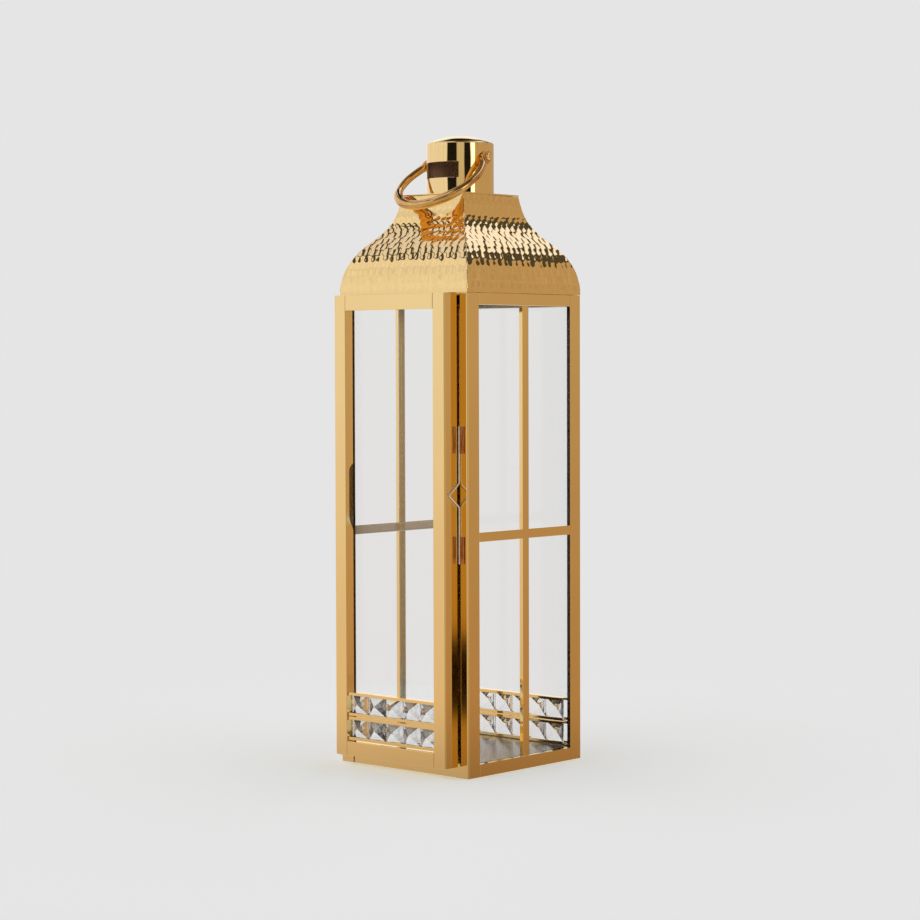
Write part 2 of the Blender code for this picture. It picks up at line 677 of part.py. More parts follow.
def bail_rings():
    """Centre, sideways direction and half sizes of every ring, with round ends beyond the pivots."""
    rings = []
    radius = EAR_WIDTH / 2
    for number in range(BAIL_STEPS + 1):
        turn = number / BAIL_STEPS
        here = bail_point(turn)
        ahead = bail_point(min(turn + 0.002, 1.0))
        behind = bail_point(max(turn - 0.002, 0.0))
        run = (ahead - behind).normalized()
        distance = min((here - bail_point(0.0)).length, (here - bail_point(1.0)).length)
        across = Vector((-run.y, run.x, 0.0))
        if distance < EAR_BEND:
            across = Vector((math.copysign(1.0, across.x), 0.0, 0.0))
        rings.append((here, across, *bail_section(distance)))
    for end in (0, -1):
        here, across, thick, wide = rings[end]
        caps = []
        for share in (0.5, 0.85, 0.99):
            caps.append((here + Vector((0.0, radius * share, 0.0)), across, thick,
                         radius * math.sqrt(1 - share * share)))
        rings = caps[::-1] + rings if end == 0 else rings + caps
    return rings


def handle(parts, finish, axis):
    """The bail: a round rod whose ends are flattened into ears, with a hole for each pin."""
    bm = bmesh.new()
    loops = [bail_ring(bm, *ring) for ring in bail_rings()]
    for loop in loops:
        for number, vert in enumerate(loop):
            bm.edges.new((vert, loop[number - 1]))
    for near, far in zip(loops, loops[1:]):
        ring_edges = [bm.edges.get((loop[i], loop[i - 1])) for loop in (near, far) for i in range(len(loop))]
        bmesh.ops.bridge_loops(bm, edges=ring_edges)
    for loop in (loops[0], loops[-1]):
        bm.faces.new(loop)
    made = make_object("bail_handle", bm, finish["handle"], axis)
    reach = EAR_MIDDLE + EAR_THICKNESS / 2 + REACH
    hole = cylinder_mesh(PIN_RADIUS + PIN_CLEARANCE, -reach, reach, "X", 16)
    combine(made, helper("bail_handle_holes", hole, axis), "DIFFERENCE")
    parts["bail_handle"] = made


def rest_angle():
    """How far the bail hangs below level when it lies on the edge of the platform."""
    edge = math.hypot(CROWN_HALF, PIVOT_HEIGHT)
    return math.atan2(PIVOT_HEIGHT, CROWN_HALF) - math.asin((ROD_RADIUS + SEAT) / edge)


def handle_pins(parts, finish, lantern):
    """The two rivets that the bail turns on, with a domed head outside and a flat one inside the chimney."""
    face = EAR_MIDDLE + EAR_THICKNESS / 2 + PIN_CLEARANCE
    inside = CHIMNEY_RADIUS - CHIMNEY_WALL - 2 * PIN_CLEARANCE
    steps = 4
    dome = []
    for step in range(steps + 1):
        turn = math.pi / 2 * step / steps
        dome.append((PIN_HEAD_RADIUS * math.cos(turn), face + PIN_HEAD_HEIGHT * (0.35 + 0.65 * math.sin(turn))))
    dome[-1] = (0.0, dome[-1][1])
    flat = PIN_RADIUS + 1.0
    profile = [(0.0, inside - 1.2), (flat, inside - 1.2), (flat, inside), (PIN_RADIUS, inside),
               (PIN_RADIUS, face), (PIN_HEAD_RADIUS, face), *dome]
    for side, across in (("left", -1), ("right", 1)):
        turned = [(radius, across * reach) for radius, reach in profile]
        name = f"handle_pin_{side}"
        parts[name] = make_object(name, lathe_mesh(turned, "X", 20), finish["gold"], lantern, HANDLE_AXIS)


# Door

def stile_outlines():
    """The right stile seen from above, filled, and the pocket that makes it a channel open at the back."""
    back = -DOOR_FRONT + DOOR_RETURN
    inner = DOOR_HALF_WIDTH - DOOR_SHEET
    filled = round_corners([
        (DOOR_HALF_WIDTH, -DOOR_BACK),
        (DOOR_HALF_WIDTH, -DOOR_FRONT),
        (DOOR_OPENING_HALF, -DOOR_FRONT),
        (DOOR_OPENING_HALF, back),
        (inner, back),
        (inner, -DOOR_BACK),
    ], {1: DOOR_BEND, 2: DOOR_BEND / 3})
    front = -DOOR_FRONT + DOOR_SHEET
    near = DOOR_OPENING_HALF + DOOR_SHEET
    pocket = [(inner, back + REACH), (inner, front), (near, front), (near, back + REACH)]
    return filled, pocket


def door_stiles(parts, finish, door):
    """The upright channels of the door, closed at both ends by folded tabs."""
    filled, pocket = stile_outlines()
    for side, across in (("left", -1), ("right", 1)):
        name = f"door_stile_{side}"
        stile = make_object(name, prism_mesh(mirrored(filled, across), "Z", DOOR_BOTTOM, DOOR_TOP),
                            finish["gold"], door, -HINGE_AXIS)
        hollow = prism_mesh(mirrored(pocket, across), "Z", DOOR_BOTTOM + DOOR_SHEET, DOOR_TOP - DOOR_SHEET)
        combine(stile, helper(f"{name}_pocket", hollow, door, -HINGE_AXIS), "DIFFERENCE")
        parts[name] = stile


def door_rail_outline(inner, outer):
    """A door rail seen from its end, from the edge of the opening to the edge of the door."""
    path = [
        (-DOOR_FRONT + DOOR_RETURN, inner),
        (-DOOR_FRONT, inner),
        (-DOOR_FRONT, outer),
        (-DOOR_BACK, outer),
    ]
    return fold(path if outer < inner else path[::-1], DOOR_SHEET)


def door_rails(parts, finish, door):
    """The level channels of the door, butted between the stiles."""
    reach = DOOR_OPENING_HALF - SEAM
    for label, inner, outer in (
        ("top", DOOR_TOP - DOOR_TOP_RAIL, DOOR_TOP),
        ("bottom", DOOR_BOTTOM + DOOR_BOTTOM_RAIL, DOOR_BOTTOM),
    ):
        bm = prism_mesh(door_rail_outline(inner, outer), "X", -reach, reach)
        name = f"door_rail_{label}"
        parts[name] = make_object(name, bm, finish["gold"], door, -HINGE_AXIS)


def door_glass(parts, finish, door):
    """The door's pane, behind the inner returns."""
    reach = DOOR_HALF_WIDTH - DOOR_SHEET - SEAT
    front = -DOOR_FRONT + DOOR_RETURN + SEAT
    edge = DOOR_SHEET + SEAT
    bm = box_mesh((-reach, front, DOOR_BOTTOM + edge), (reach, front + GLASS, DOOR_TOP - edge))
    parts["door_glass"] = make_object("door_glass", bm, finish["glass"], door, -HINGE_AXIS)


# Hinges

def leaf_outline(width):
    """A hinge leaf seen from above, round its pin at (0, 0): the leaf lies along +Y and runs to -X."""
    far = HINGE_OFFSET - SEAT
    near = far - HINGE_LEAF
    web = HINGE_WEB / 2
    start = math.acos(web / KNUCKLE_RADIUS)
    steps = 16
    sweep = math.tau - (math.pi - 2 * start)
    knuckle = []
    for step in range(steps + 1):
        turn = start - sweep * step / steps
        knuckle.append((KNUCKLE_RADIUS * math.cos(turn), KNUCKLE_RADIUS * math.sin(turn)))
    return [(-width, far), (web, far), *knuckle, (-web, near), (-width, near)]


def hinge_leaf(name, outline, height, notches, finish, parent, offset):
    """One leaf with its knuckles: the notches are where the other leaf's knuckles go."""
    low = height - HINGE_HEIGHT / 2
    leaf = make_object(name, prism_mesh(outline, "Z", low, low + HINGE_HEIGHT), finish, parent, offset)
    for number, (start, end) in enumerate(notches):
        clear = KNUCKLE_RADIUS + KNUCKLE_GAP
        bm = cylinder_mesh(clear, start, end, "Z", 24)
        combine(leaf, helper(f"{name}_notch_{number + 1}", bm, parent, offset), "DIFFERENCE")
    bore = cylinder_mesh(HINGE_PIN_RADIUS + HINGE_PIN_CLEARANCE, low - REACH, low + HINGE_HEIGHT + REACH, "Z", 16)
    combine(leaf, helper(f"{name}_bore", bore, parent, offset), "DIFFERENCE")
    return leaf


def hinge_pin(name, height, finish, lantern):
    """A hinge pin with a flat head that rests on the top knuckle."""
    low = height - HINGE_HEIGHT / 2
    head = low + HINGE_HEIGHT + SEAT
    profile = [(0.0, low), (HINGE_PIN_RADIUS, low), (HINGE_PIN_RADIUS, head), (HINGE_PIN_HEAD, head),
               (HINGE_PIN_HEAD, head + HINGE_PIN_HEAD_HEIGHT), (0.0, head + HINGE_PIN_HEAD_HEIGHT)]
    return make_object(name, lathe_mesh(profile, "Z", 16), finish, lantern, HINGE_AXIS)


def hinges(parts, finish, lantern, door):
    """Two hinges in the corner between the left post and the left side of the door."""
    post_side = leaf_outline(POST_LEAF_WIDTH)
    door_side = [(q, p) for p, q in leaf_outline(DOOR_LEAF_WIDTH)]
    for label, height in HINGE_HEIGHTS.items():
        low = height - HINGE_HEIGHT / 2
        high = height + HINGE_HEIGHT / 2
        middle = HINGE_HEIGHT * KNUCKLE_SHARE / 2
        gap = KNUCKLE_GAP / 2
        name = f"hinge_{label}_post_leaf"
        ends = [(low - REACH, height - middle + gap), (height + middle - gap, high + REACH)]
        parts[name] = hinge_leaf(name, post_side, height, ends, finish["gold"], lantern, HINGE_AXIS)
        name = f"hinge_{label}_door_leaf"
        centre = [(height - middle - gap, height + middle + gap)]
        parts[name] = hinge_leaf(name, door_side, height, centre, finish["gold"], door, (0, 0, 0))
        name = f"hinge_{label}_pin"
        parts[name] = hinge_pin(name, height, finish["gold"], lantern)


# Latch

def latch_spring(parts, finish, lantern):
    """A bowed wire on the right post. The door's side rubs past the bow and is held shut by it."""
    rest = -HALF - SEAT
    low = LATCH_MIDDLE - LATCH_LENGTH / 2
    high = LATCH_MIDDLE + LATCH_LENGTH / 2
    half = LATCH_BOW_HEIGHT / 2
    path = [
        (rest, high),
        (rest, LATCH_MIDDLE + half),
        (rest - LATCH_BOW, LATCH_MIDDLE),
        (rest, LATCH_MIDDLE - half),
        (rest, low),
    ]
    near = DOOR_HALF_WIDTH + LATCH_CLEARANCE
    spring = make_object("latch_spring", prism_mesh(fold(path[::-1], LATCH_WIRE), "X", near, near + LATCH_WIRE),
                         finish["gold"], lantern)
    for label, foot in (("lower", low), ("upper", high - LATCH_TAB_LENGTH)):
        bm = box_mesh((near + LATCH_WIRE / 2, rest - LATCH_TAB_SHEET, foot),
                      (near + LATCH_TAB_WIDTH, rest, foot + LATCH_TAB_LENGTH))
        combine(spring, helper(f"latch_spring_tab_{label}", bm, lantern), "UNION")
    parts["latch_spring"] = spring


# The whole lantern

def clear_scene():
    """Removes whatever the scene holds."""
    for old in list(bpy.data.objects):
        bpy.data.objects.remove(old, do_unlink=True)


def build():
    """Makes every piece and hangs it from the empty that carries it."""
    clear_scene()
    finish = all_materials()
    lantern = make_empty("lantern_axis", (0.0, BODY_SHIFT, 0.0))
    door = make_empty("door_axis", HINGE_AXIS, lantern)
    bail = make_empty("handle_axis", HANDLE_AXIS, lantern)
    bail.rotation_euler.x = rest_angle()
    parts = {}
    posts(parts, finish, lantern)
    rails(parts, finish, lantern)
    floor_pan(parts, finish, lantern)
    muntin_crosses(parts, finish, lantern)
    body_glass(parts, finish, lantern)
    back_band(parts, finish, lantern)
    roof_panels(parts, finish, lantern)
    roof_platform(parts, finish, lantern)
    chimney(parts, finish, lantern)
    handle(parts, finish, bail)
    handle_pins(parts, finish, lantern)
    door_stiles(parts, finish, door)
    door_rails(parts, finish, door)
    door_glass(parts, finish, door)
    door_band(parts, finish, door)
    hinges(parts, finish, lantern, door)
    latch_spring(parts, finish, lantern)
    bpy.context.view_layer.update()
    for name, made in parts.items():
        print(name, [round(value / MM, 2) for value in made.matrix_world.translation])
    print(len(parts), "pieces; the bail hangs", round(math.degrees(rest_angle()), 2), "degrees below level")


build()
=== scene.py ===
# %% [markdown]
# # A gold candle lantern, dressed for the photograph
#
# The lantern's solids come ready made and stay where they are. This lesson gives them their looks: plated
# gold sheet that mirrors the studio, a hammered roof, a turned chimney, a bent bail, cut crystals and clear
# panes. Everything is in metres. The door faces -Y and +Z is up.

import json
import math

import bmesh
import bpy
from mathutils import Matrix, Vector, noise

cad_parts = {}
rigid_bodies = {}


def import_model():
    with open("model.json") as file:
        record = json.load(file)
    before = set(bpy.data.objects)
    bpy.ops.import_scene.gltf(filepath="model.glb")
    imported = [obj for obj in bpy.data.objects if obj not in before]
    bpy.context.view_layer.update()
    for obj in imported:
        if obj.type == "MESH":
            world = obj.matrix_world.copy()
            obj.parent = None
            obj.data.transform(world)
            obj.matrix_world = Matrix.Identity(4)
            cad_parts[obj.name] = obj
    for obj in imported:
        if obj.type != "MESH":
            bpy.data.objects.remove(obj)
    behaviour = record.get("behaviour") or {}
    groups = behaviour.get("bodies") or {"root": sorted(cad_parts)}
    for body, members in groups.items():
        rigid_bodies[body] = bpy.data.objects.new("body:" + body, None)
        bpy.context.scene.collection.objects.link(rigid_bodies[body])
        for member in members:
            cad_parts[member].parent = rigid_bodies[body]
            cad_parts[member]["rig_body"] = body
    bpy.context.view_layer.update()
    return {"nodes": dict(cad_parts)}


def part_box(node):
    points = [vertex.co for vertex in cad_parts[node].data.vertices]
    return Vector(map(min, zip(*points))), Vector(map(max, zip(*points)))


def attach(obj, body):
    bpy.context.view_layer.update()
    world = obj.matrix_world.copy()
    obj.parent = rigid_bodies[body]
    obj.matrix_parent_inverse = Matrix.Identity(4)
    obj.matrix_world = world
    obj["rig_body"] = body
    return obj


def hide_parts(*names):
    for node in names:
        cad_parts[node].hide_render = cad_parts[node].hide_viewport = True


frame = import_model()
scene = bpy.context.scene
MM = 0.001

# %% [markdown]
# The lantern's upright axis isn't the origin: the door stands proud, so the box's middle lies in front of it.
# The chimney is round and hidden by nothing, so its box gives the axis.

# %% Find the upright axis
chimney_low, chimney_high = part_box("chimney")
AXIS = Vector((0.0, (chimney_low.y + chimney_high.y) / 2, 0.0))
print("axis at y =", round(AXIS.y / MM, 2), "mm")

# %% [markdown]
# ## The camera
#
# The photograph was taken from the front right, a little below the roof, with a long lens. The camera's
# place, its lens and its small tilt were solved together from the lantern's corners in the picture. A level
# camera with its frame shifted down would fit as well, but a plain tilt also frames the lantern well from
# every other side.

# %% Place the camera
CAMERA_TURN = math.radians(41.915)
CAMERA_DISTANCE = 2.154296
CAMERA_HEIGHT = 0.351642
CAMERA_ASIDE = 0.000826
CAMERA_TILT = math.radians(2.293)
CAMERA_ROLL = math.radians(0.162)
FRAME_PIXELS = 920
FOCAL_PIXELS = 2445.546
SENSOR = 36.0
NEAREST = 0.05

across = Vector((math.cos(CAMERA_TURN), math.sin(CAMERA_TURN), 0.0))
away = Vector((math.sin(CAMERA_TURN), -math.cos(CAMERA_TURN), 0.0))
camera_data = bpy.data.cameras.new("photo_camera")
camera_data.sensor_width = SENSOR
camera_data.lens = FOCAL_PIXELS / FRAME_PIXELS * SENSOR
camera_data.clip_start = NEAREST
camera = bpy.data.objects.new("photo_camera", camera_data)
scene.collection.objects.link(camera)
camera.location = AXIS + away * CAMERA_DISTANCE - across * CAMERA_ASIDE + Vector((0, 0, CAMERA_HEIGHT))
camera.rotation_euler = (math.pi / 2 - CAMERA_TILT, 0.0, CAMERA_TURN)
camera.rotation_euler.rotate_axis("Z", -CAMERA_ROLL)
scene.camera = camera
print("lens", round(camera_data.lens, 1), "mm")

# %% [markdown]
# ## Writing shader maths
#
# Node trees are easier to read as sums. This small class wraps an output socket, so that an expression such as
# `1 - mask * 0.5` adds the Math nodes that it needs. `add` makes any other node.

# %% A wire that can be used in sums
class Wire:
    """An output socket of a node tree."""

    def __init__(self, tree, socket=None):
        self.tree = tree
        self.socket = socket

    def add(self, kind, settings=None, sockets=None, out=0):
        """Adds a node: its settings first, then the values or wires of its sockets."""
        node = self.tree.nodes.new(kind)
        for name, value in (settings or {}).items():
            if name == "stops":
                ramp = node.color_ramp.elements
                ramp.remove(ramp[1])
                ramp[0].position, ramp[0].color = value[0]
                for place, colour in value[1:]:
                    ramp.new(place).color = colour
            else:
                setattr(node, name, value)
        for name, value in (sockets or {}).items():
            if isinstance(value, Wire):
                self.tree.links.new(value.socket, node.inputs[name])
            else:
                node.inputs[name].default_value = value
        return Wire(self.tree, node.outputs[out] if node.outputs else None)

    def math(self, operation, *others):
        return self.add("ShaderNodeMath", {"operation": operation}, dict(enumerate((self, *others))))

    def __add__(self, other):
        return self.math("ADD", other)

    def __radd__(self, other):
        return self.math("ADD", other)

    def __sub__(self, other):
        return self.math("SUBTRACT", other)

    def __rsub__(self, other):
        return self.add("ShaderNodeMath", {"operation": "SUBTRACT"}, {0: other, 1: self})

    def __mul__(self, other):
        return self.math("MULTIPLY", other)

    def __rmul__(self, other):
        return self.math("MULTIPLY", other)

    def __truediv__(self, other):
        return self.math("DIVIDE", other)

    def __neg__(self):
        return self.math("MULTIPLY", -1.0)

    def between(self, low, high):
        """0 below low, 1 above high, smooth on the way."""
        return self.add("ShaderNodeMapRange", {"interpolation_type": "SMOOTHSTEP"},
                        {"Value": self, "From Min": low, "From Max": high})

    def blend(self, first, second):
        """Mixes two colours, with this wire as the share of the second."""
        return self.add("ShaderNodeMix", {"data_type": "RGBA"}, {0: self, 6: first, 7: second}, out=2)

    def noise(self, place, scale, detail=2.0, rough=0.5, stretch=(1.0, 1.0, 1.0)):
        """Fractal noise from 0 to 1 at a place, with stretch as the frequency along each axis."""
        spread = self.add("ShaderNodeMapping", sockets={"Vector": place, "Scale": stretch})
        return self.add("ShaderNodeTexNoise", sockets={
            "Vector": spread, "Scale": scale, "Detail": detail, "Roughness": rough})


def colour(red, green, blue):
    return (red, green, blue, 1.0)


def smooth(low, high, value):
    """0 below low, 1 above high, smooth on the way, for plain numbers."""
    share = min(max((value - low) / (high - low), 0.0), 1.0)
    return share * share * (3 - 2 * share)

# %% A new material with its own Principled shader
def new_finish(name, **values):
    """A material, its Principled shader and a wire to build on. The values go on the shader's sockets."""
    material = bpy.data.materials.new(name)
    material.use_nodes = True
    shader = material.node_tree.nodes["Principled BSDF"]
    for socket, value in values.items():
        shader.inputs[socket.replace("_", " ")].default_value = value
    return material, shader, Wire(material.node_tree)


def plug(shader, socket, wire):
    """Feeds a wire to a shader's socket."""
    wire.tree.links.new(wire.socket, shader.inputs[socket])


def relief(shader, height, depth):
    """Bumps a shader's surface by a height from 0 to 1, which stands for a depth in metres."""
    bump = height.add("ShaderNodeBump", sockets={"Height": height, "Distance": depth, "Strength": 1.0})
    plug(shader, "Normal", bump)


def body_place(wire):
    """Where a point is on the piece, in metres."""
    return wire.add("ShaderNodeTexCoord", out=3)

# %% [markdown]
# ## Shaping helpers
#
# Several pieces are made the same way: an outline is spun, rings are bridged, edges are rounded, and the
# result becomes a mesh with its materials. These steps are written once. Spinning and thickening list their
# new edges and faces differently each time, so both put them in a fixed order at the end.

# %% Spin, bridge, round and keep
WELD = 0.001 * MM


def keep_order(bm):
    """Lists edges and faces by the numbers of their corners."""
    bm.verts.index_update()
    count = len(bm.verts)

    def rank(item):
        numbers = sorted(vert.index for vert in item.verts)
        return (numbers[0] * count + numbers[-1]) * count + sum(numbers)

    bm.edges.sort(key=rank)
    bm.faces.sort(key=rank)


def spin_outline(points, steps, start=0.0):
    """Spins an outline round the upright axis through the origin, from a start angle."""
    bm = bmesh.new()
    verts = [bm.verts.new(point) for point in points]
    line = [bm.edges.new(pair) for pair in zip(verts, verts[1:])]
    bmesh.ops.rotate(bm, cent=(0, 0, 0), matrix=Matrix.Rotation(start, 3, "Z"), verts=verts)
    bmesh.ops.spin(bm, geom=verts + line, cent=(0, 0, 0), axis=(0, 0, 1), angle=math.tau, steps=steps,
                   use_merge=True)
    bmesh.ops.remove_doubles(bm, verts=bm.verts, dist=WELD)
    keep_order(bm)
    return bm


def thicken(bm, sheet):
    """Gives a skin the thickness of its sheet, in metres."""
    bmesh.ops.solidify(bm, geom=bm.faces[:], thickness=sheet)
    keep_order(bm)


def edges_of(verts):
    """The edges that touch any of these corners."""
    return {edge for vert in verts for edge in vert.link_edges}


def join_rings(bm, rings):
    """Bridges each ring of edges to the next, and closes both ends."""
    for near, far in zip(rings, rings[1:]):
        bmesh.ops.bridge_loops(bm, edges=list(near | far))
    bmesh.ops.holes_fill(bm, edges=[edge for edge in bm.edges if edge.is_boundary])


def sharp_edges(bm, degrees):
    """The edges where two faces meet at more than an angle."""
    return [edge for edge in bm.edges if edge.is_manifold and edge.calc_face_angle() > math.radians(degrees)]


def round_edges(bm, edges, width, segments=2):
    """Rounds edges by a width in metres."""
    bmesh.ops.bevel(bm, geom=edges, offset=width, offset_type="OFFSET", affect="EDGES", segments=segments,
                    profile=0.5, material=-1, clamp_overlap=True)


def turn_and_move(bm, angle, axis, move):
    """Turns a shape about the origin, then moves it."""
    bmesh.ops.rotate(bm, cent=(0, 0, 0), matrix=Matrix.Rotation(angle, 3, axis), verts=bm.verts)
    bmesh.ops.translate(bm, vec=move, verts=bm.verts)


def mesh_of(bm, name, *materials, smooth_up_to=None):
    """Keeps a shape as a mesh. Bends up to an angle in degrees are shaded smooth."""
    mesh = bpy.data.meshes.new(name)
    bm.to_mesh(mesh)
    bm.free()
    for material in materials:
        mesh.materials.append(material)
    if smooth_up_to:
        mesh.shade_smooth()
        mesh.set_sharp_from_angle(angle=math.radians(smooth_up_to))
    return mesh

# %% [markdown]
# ## The studio
#
# Polished metal has no colour of its own: it shows the room, tinted gold. So the room is the real paint here.
# The photograph tells what the room holds, because the round chimney mirrors all of it: a wide pale wall on
# the left, a dark gap, the lit card round the camera, a second dark gap, a slim white softbox on the right,
# and dim warm paper behind. The roof's curve shows what hangs higher: a dark gap, then soft light overhead.
# The room is a world shader: bands round the compass, and bands of height.

# %% Bands round the compass
DARK = colour(0.012, 0.010, 0.009)
PALE_WALL = colour(0.84, 0.81, 0.88)
CAMERA_CARD = colour(0.60, 0.53, 0.46)
WHITE_BOX = colour(2.2, 2.1, 2.1)
WARM_PAPER = colour(0.505, 0.365, 0.252)
DIM_CORNER = colour(0.10, 0.075, 0.055)
BACKDROP = colour(1.05, 1.0, 0.95)
SOFT = 1.4
CORNER_START = -153
CORNER_END = -144
WALL_START = -120
WALL_END = -2
CARD_START = 30
CARD_END = 56
BOX_START = 78
BOX_END = 93


def compass_stop(degrees, paint):
    """A stop of the compass ramp. Degrees run from -Y, where the door faces, towards +X."""
    return (degrees / 360 + 0.5, paint)


world = bpy.data.worlds.new("studio")
scene.world = world
world.use_nodes = True
world.node_tree.nodes.clear()
sky = Wire(world.node_tree)
way = sky.add("ShaderNodeTexCoord")
east, south, up = (way.add("ShaderNodeSeparateXYZ", sockets={0: way}, out=number) for number in range(3))
turn = east.math("ARCTAN2", -south) * (180 / math.pi)
rise = up.math("ARCSINE") * (180 / math.pi)
edges = [(CORNER_START, WARM_PAPER, DIM_CORNER), (CORNER_END, DIM_CORNER, BACKDROP),
         (WALL_START, BACKDROP, PALE_WALL), (WALL_END, PALE_WALL, DARK),
         (CARD_START, DARK, CAMERA_CARD), (CARD_END, CAMERA_CARD, DARK),
         (BOX_START, DARK, WHITE_BOX), (BOX_END, WHITE_BOX, WARM_PAPER)]
stops = [compass_stop(edge + side * SOFT, paint)
         for edge, *paints in edges for side, paint in zip((-1, 1), paints)]
round_room = turn.add("ShaderNodeValToRGB", {"stops": stops}, {"Fac": turn / 360 + 0.5})
print(len(edges), "edges round the compass")

# %% [markdown]
# Heights: the walls lose a little light towards the floor, and turn warmer there, and no wall is lit quite
# evenly. The dark gaps and the slim softbox are screens that stand in front of a plain side wall, which shows
# above and below them. Under the lit card stands the brown edge of a table, with the black column of the
# camera's stand before it, which shows twice in the corner beside the door. Above the walls comes the dark gap.
# It is thick behind and thin over the pale wall, and a softbox hangs down into it at the back. Over the gap,
# soft light fills the ceiling, except above the camera.

# %% Bands of height and the finished room
def window(value, low, high, soft=1.0):
    """1 where a wire lies between two values, with soft edges."""
    return value.between(low - soft, low + soft) * (1 - value.between(high - soft, high + soft))


LOW_TINT = colour(0.88, 0.72, 0.56)
GROUND = colour(0.62, 0.56, 0.50)
TABLE_EDGE = colour(0.46, 0.30, 0.11)
SIDE_WALL = colour(0.55, 0.46, 0.37)
CEILING_LEFT = colour(0.80, 0.77, 0.98)
CEILING_BACK = colour(1.06, 1.07, 1.46)
CEILING_FRONT = colour(0.10, 0.09, 0.08)
CEILING_TOP = colour(0.20, 0.165, 0.135)
GAP = colour(0.075, 0.068, 0.062)
WARM_RISE = (-9.5, 2.5)
SCREEN_RISE = (2.2, 14.0)
TABLE_TOP = (1.5, 4.5)
TABLE_FOOT = (-16.0, -9.0)
GROUND_RISE = (-18.0, -12.0)
SHADE_RISE = (-14.0, -9.2)
STAND_TURN = (40.0, 43.6)
STAND_RISE = (-8.3, -6.4)
UNEVEN_RISE = (3.0, 11.0)
UNEVEN_LOW = 0.25
UNEVEN_MORE = 0.45
SHADE = 0.42
OVER_WALL = (-125, -30)
BEHIND_LEFT = (-148, -125)
HUNG_BOX = ((169.0, 172.5), (-151.0, -145.0))
OVER_CAMERA = (18, 85)
GAP_FOOT = 31.0
GAP_TOP = 40.35
FOOT_LIFT = 9.1
TOP_LIFT = 4.3
LEFT_LIFT = 35.0
BOX_HANG = 2.9
RIM = (0.4, 1.3)
CEILING_FADE = (52.0, 66.0)

uneven = way.noise(way, 8.0, 2.0, 0.5, (1.0, 1.0, 1.4))
walls = sky.add("ShaderNodeMix", {"data_type": "RGBA", "blend_type": "MULTIPLY"},
                {0: (1 - rise.between(*WARM_RISE)) * 0.9, 6: round_room, 7: LOW_TINT}, out=2)
screens = window(turn, WALL_END, CARD_START, SOFT).math("MAXIMUM", window(turn, CARD_END, BOX_END, SOFT))
walls = (screens * (1 - window(rise, *SCREEN_RISE, soft=0.8))).blend(walls, SIDE_WALL)
table_edge = window(turn, CARD_START, CARD_END) * (1 - rise.between(*TABLE_TOP)) * rise.between(*TABLE_FOOT)
walls = table_edge.blend(walls, TABLE_EDGE)
walls = rise.between(*GROUND_RISE).blend(GROUND, walls)
stand = window(turn, *STAND_TURN, soft=0.3) * window(rise, *STAND_RISE, soft=0.05)
walls = stand.blend(walls, colour(0.0, 0.0, 0.0))
swing = UNEVEN_LOW + rise.between(*UNEVEN_RISE) * UNEVEN_MORE
foot = 1.0 - window(rise, *SHADE_RISE, soft=1.6) * SHADE
lit = sky.add("ShaderNodeVectorMath", {"operation": "SCALE"},
              {0: walls, "Scale": (1.0 + (uneven - 0.5) * swing) * foot})
over_wall = window(turn, *OVER_WALL, soft=4.0)
behind_left = window(turn, *BEHIND_LEFT, soft=3.0)
hung_box = turn.between(*HUNG_BOX[0]).math("MAXIMUM", 1 - turn.between(*HUNG_BOX[1]))
gap_low = GAP_FOOT + over_wall * FOOT_LIFT
gap_high = GAP_TOP - hung_box * BOX_HANG + behind_left * LEFT_LIFT + over_wall * TOP_LIFT
above_low = (rise - gap_low).between(-0.35, 0.35)
above_high = (rise - gap_high).between(-0.4, 0.4)
rim = ((rise - gap_low).math("MINIMUM", gap_high - rise)).between(*RIM)
gap_paint = (rim * (1 - behind_left)).blend(DARK, GAP)
in_front = window(turn, *OVER_CAMERA, soft=8.0)
ceiling = over_wall.math("MAXIMUM", behind_left).blend(CEILING_BACK, CEILING_LEFT)
ceiling = rise.between(*CEILING_FADE).blend(ceiling, CEILING_TOP)
ceiling = in_front.blend(ceiling, CEILING_FRONT)
room = above_high.blend(above_low.blend(lit, gap_paint), ceiling)
background = room.add("ShaderNodeBackground", sockets={"Color": room})
room.add("ShaderNodeOutputWorld", sockets={"Surface": background})
scene.view_settings.view_transform = "Standard"
print("room ready")

# %% [markdown]
# The lantern stands on a sweep of pale paper that turns up into the backdrop all round. Polished metal must
# not mirror it, because it would hide the room's bands, but the crystals look through to it. It is lit mostly
# from itself, so that it stays even. Only near the lantern does real light fall on it, for the soft shadow.
# Round the foot, a painted shadow darkens the paper's glow a little more.

# %% The paper sweep
SWEEP_RADIUS = 3.2
SWEEP_CURVE = 1.0
SWEEP_TOP = 3.5
BEND_STEPS = 12
ROUND_STEPS = 96
FOOT_REACH = (0.09, 0.3)
FAR_REACH = (0.3, 0.9)
PAPER = 0.783
PAPER_SHARE = 0.9
PAPER_LIGHT = (0.473, 0.440, 0.493)
FOOT_SHADE = 0.045

sweep_line = [Vector((0, 0, 0)), Vector((SWEEP_RADIUS - SWEEP_CURVE, 0, 0))]
for step in range(1, BEND_STEPS + 1):
    bend = math.pi / 2 * step / BEND_STEPS
    sweep_line.append(Vector((SWEEP_RADIUS - SWEEP_CURVE + SWEEP_CURVE * math.sin(bend), 0,
                              SWEEP_CURVE * (1 - math.cos(bend)))))
sweep_line.append(Vector((SWEEP_RADIUS, 0, SWEEP_TOP)))
paper, paper_shader, wire = new_finish("pale_paper", Roughness=1.0, Specular_IOR_Level=0.0,
                                       Emission_Strength=1.0)
sweep_mesh = mesh_of(spin_outline(sweep_line, ROUND_STEPS), "paper_sweep", paper)
sweep_mesh.shade_smooth()
sweep = bpy.data.objects.new("paper_sweep", sweep_mesh)
scene.collection.objects.link(sweep)
for ray in ("glossy", "diffuse", "shadow", "volume_scatter"):
    setattr(sweep, "visible_" + ray, False)
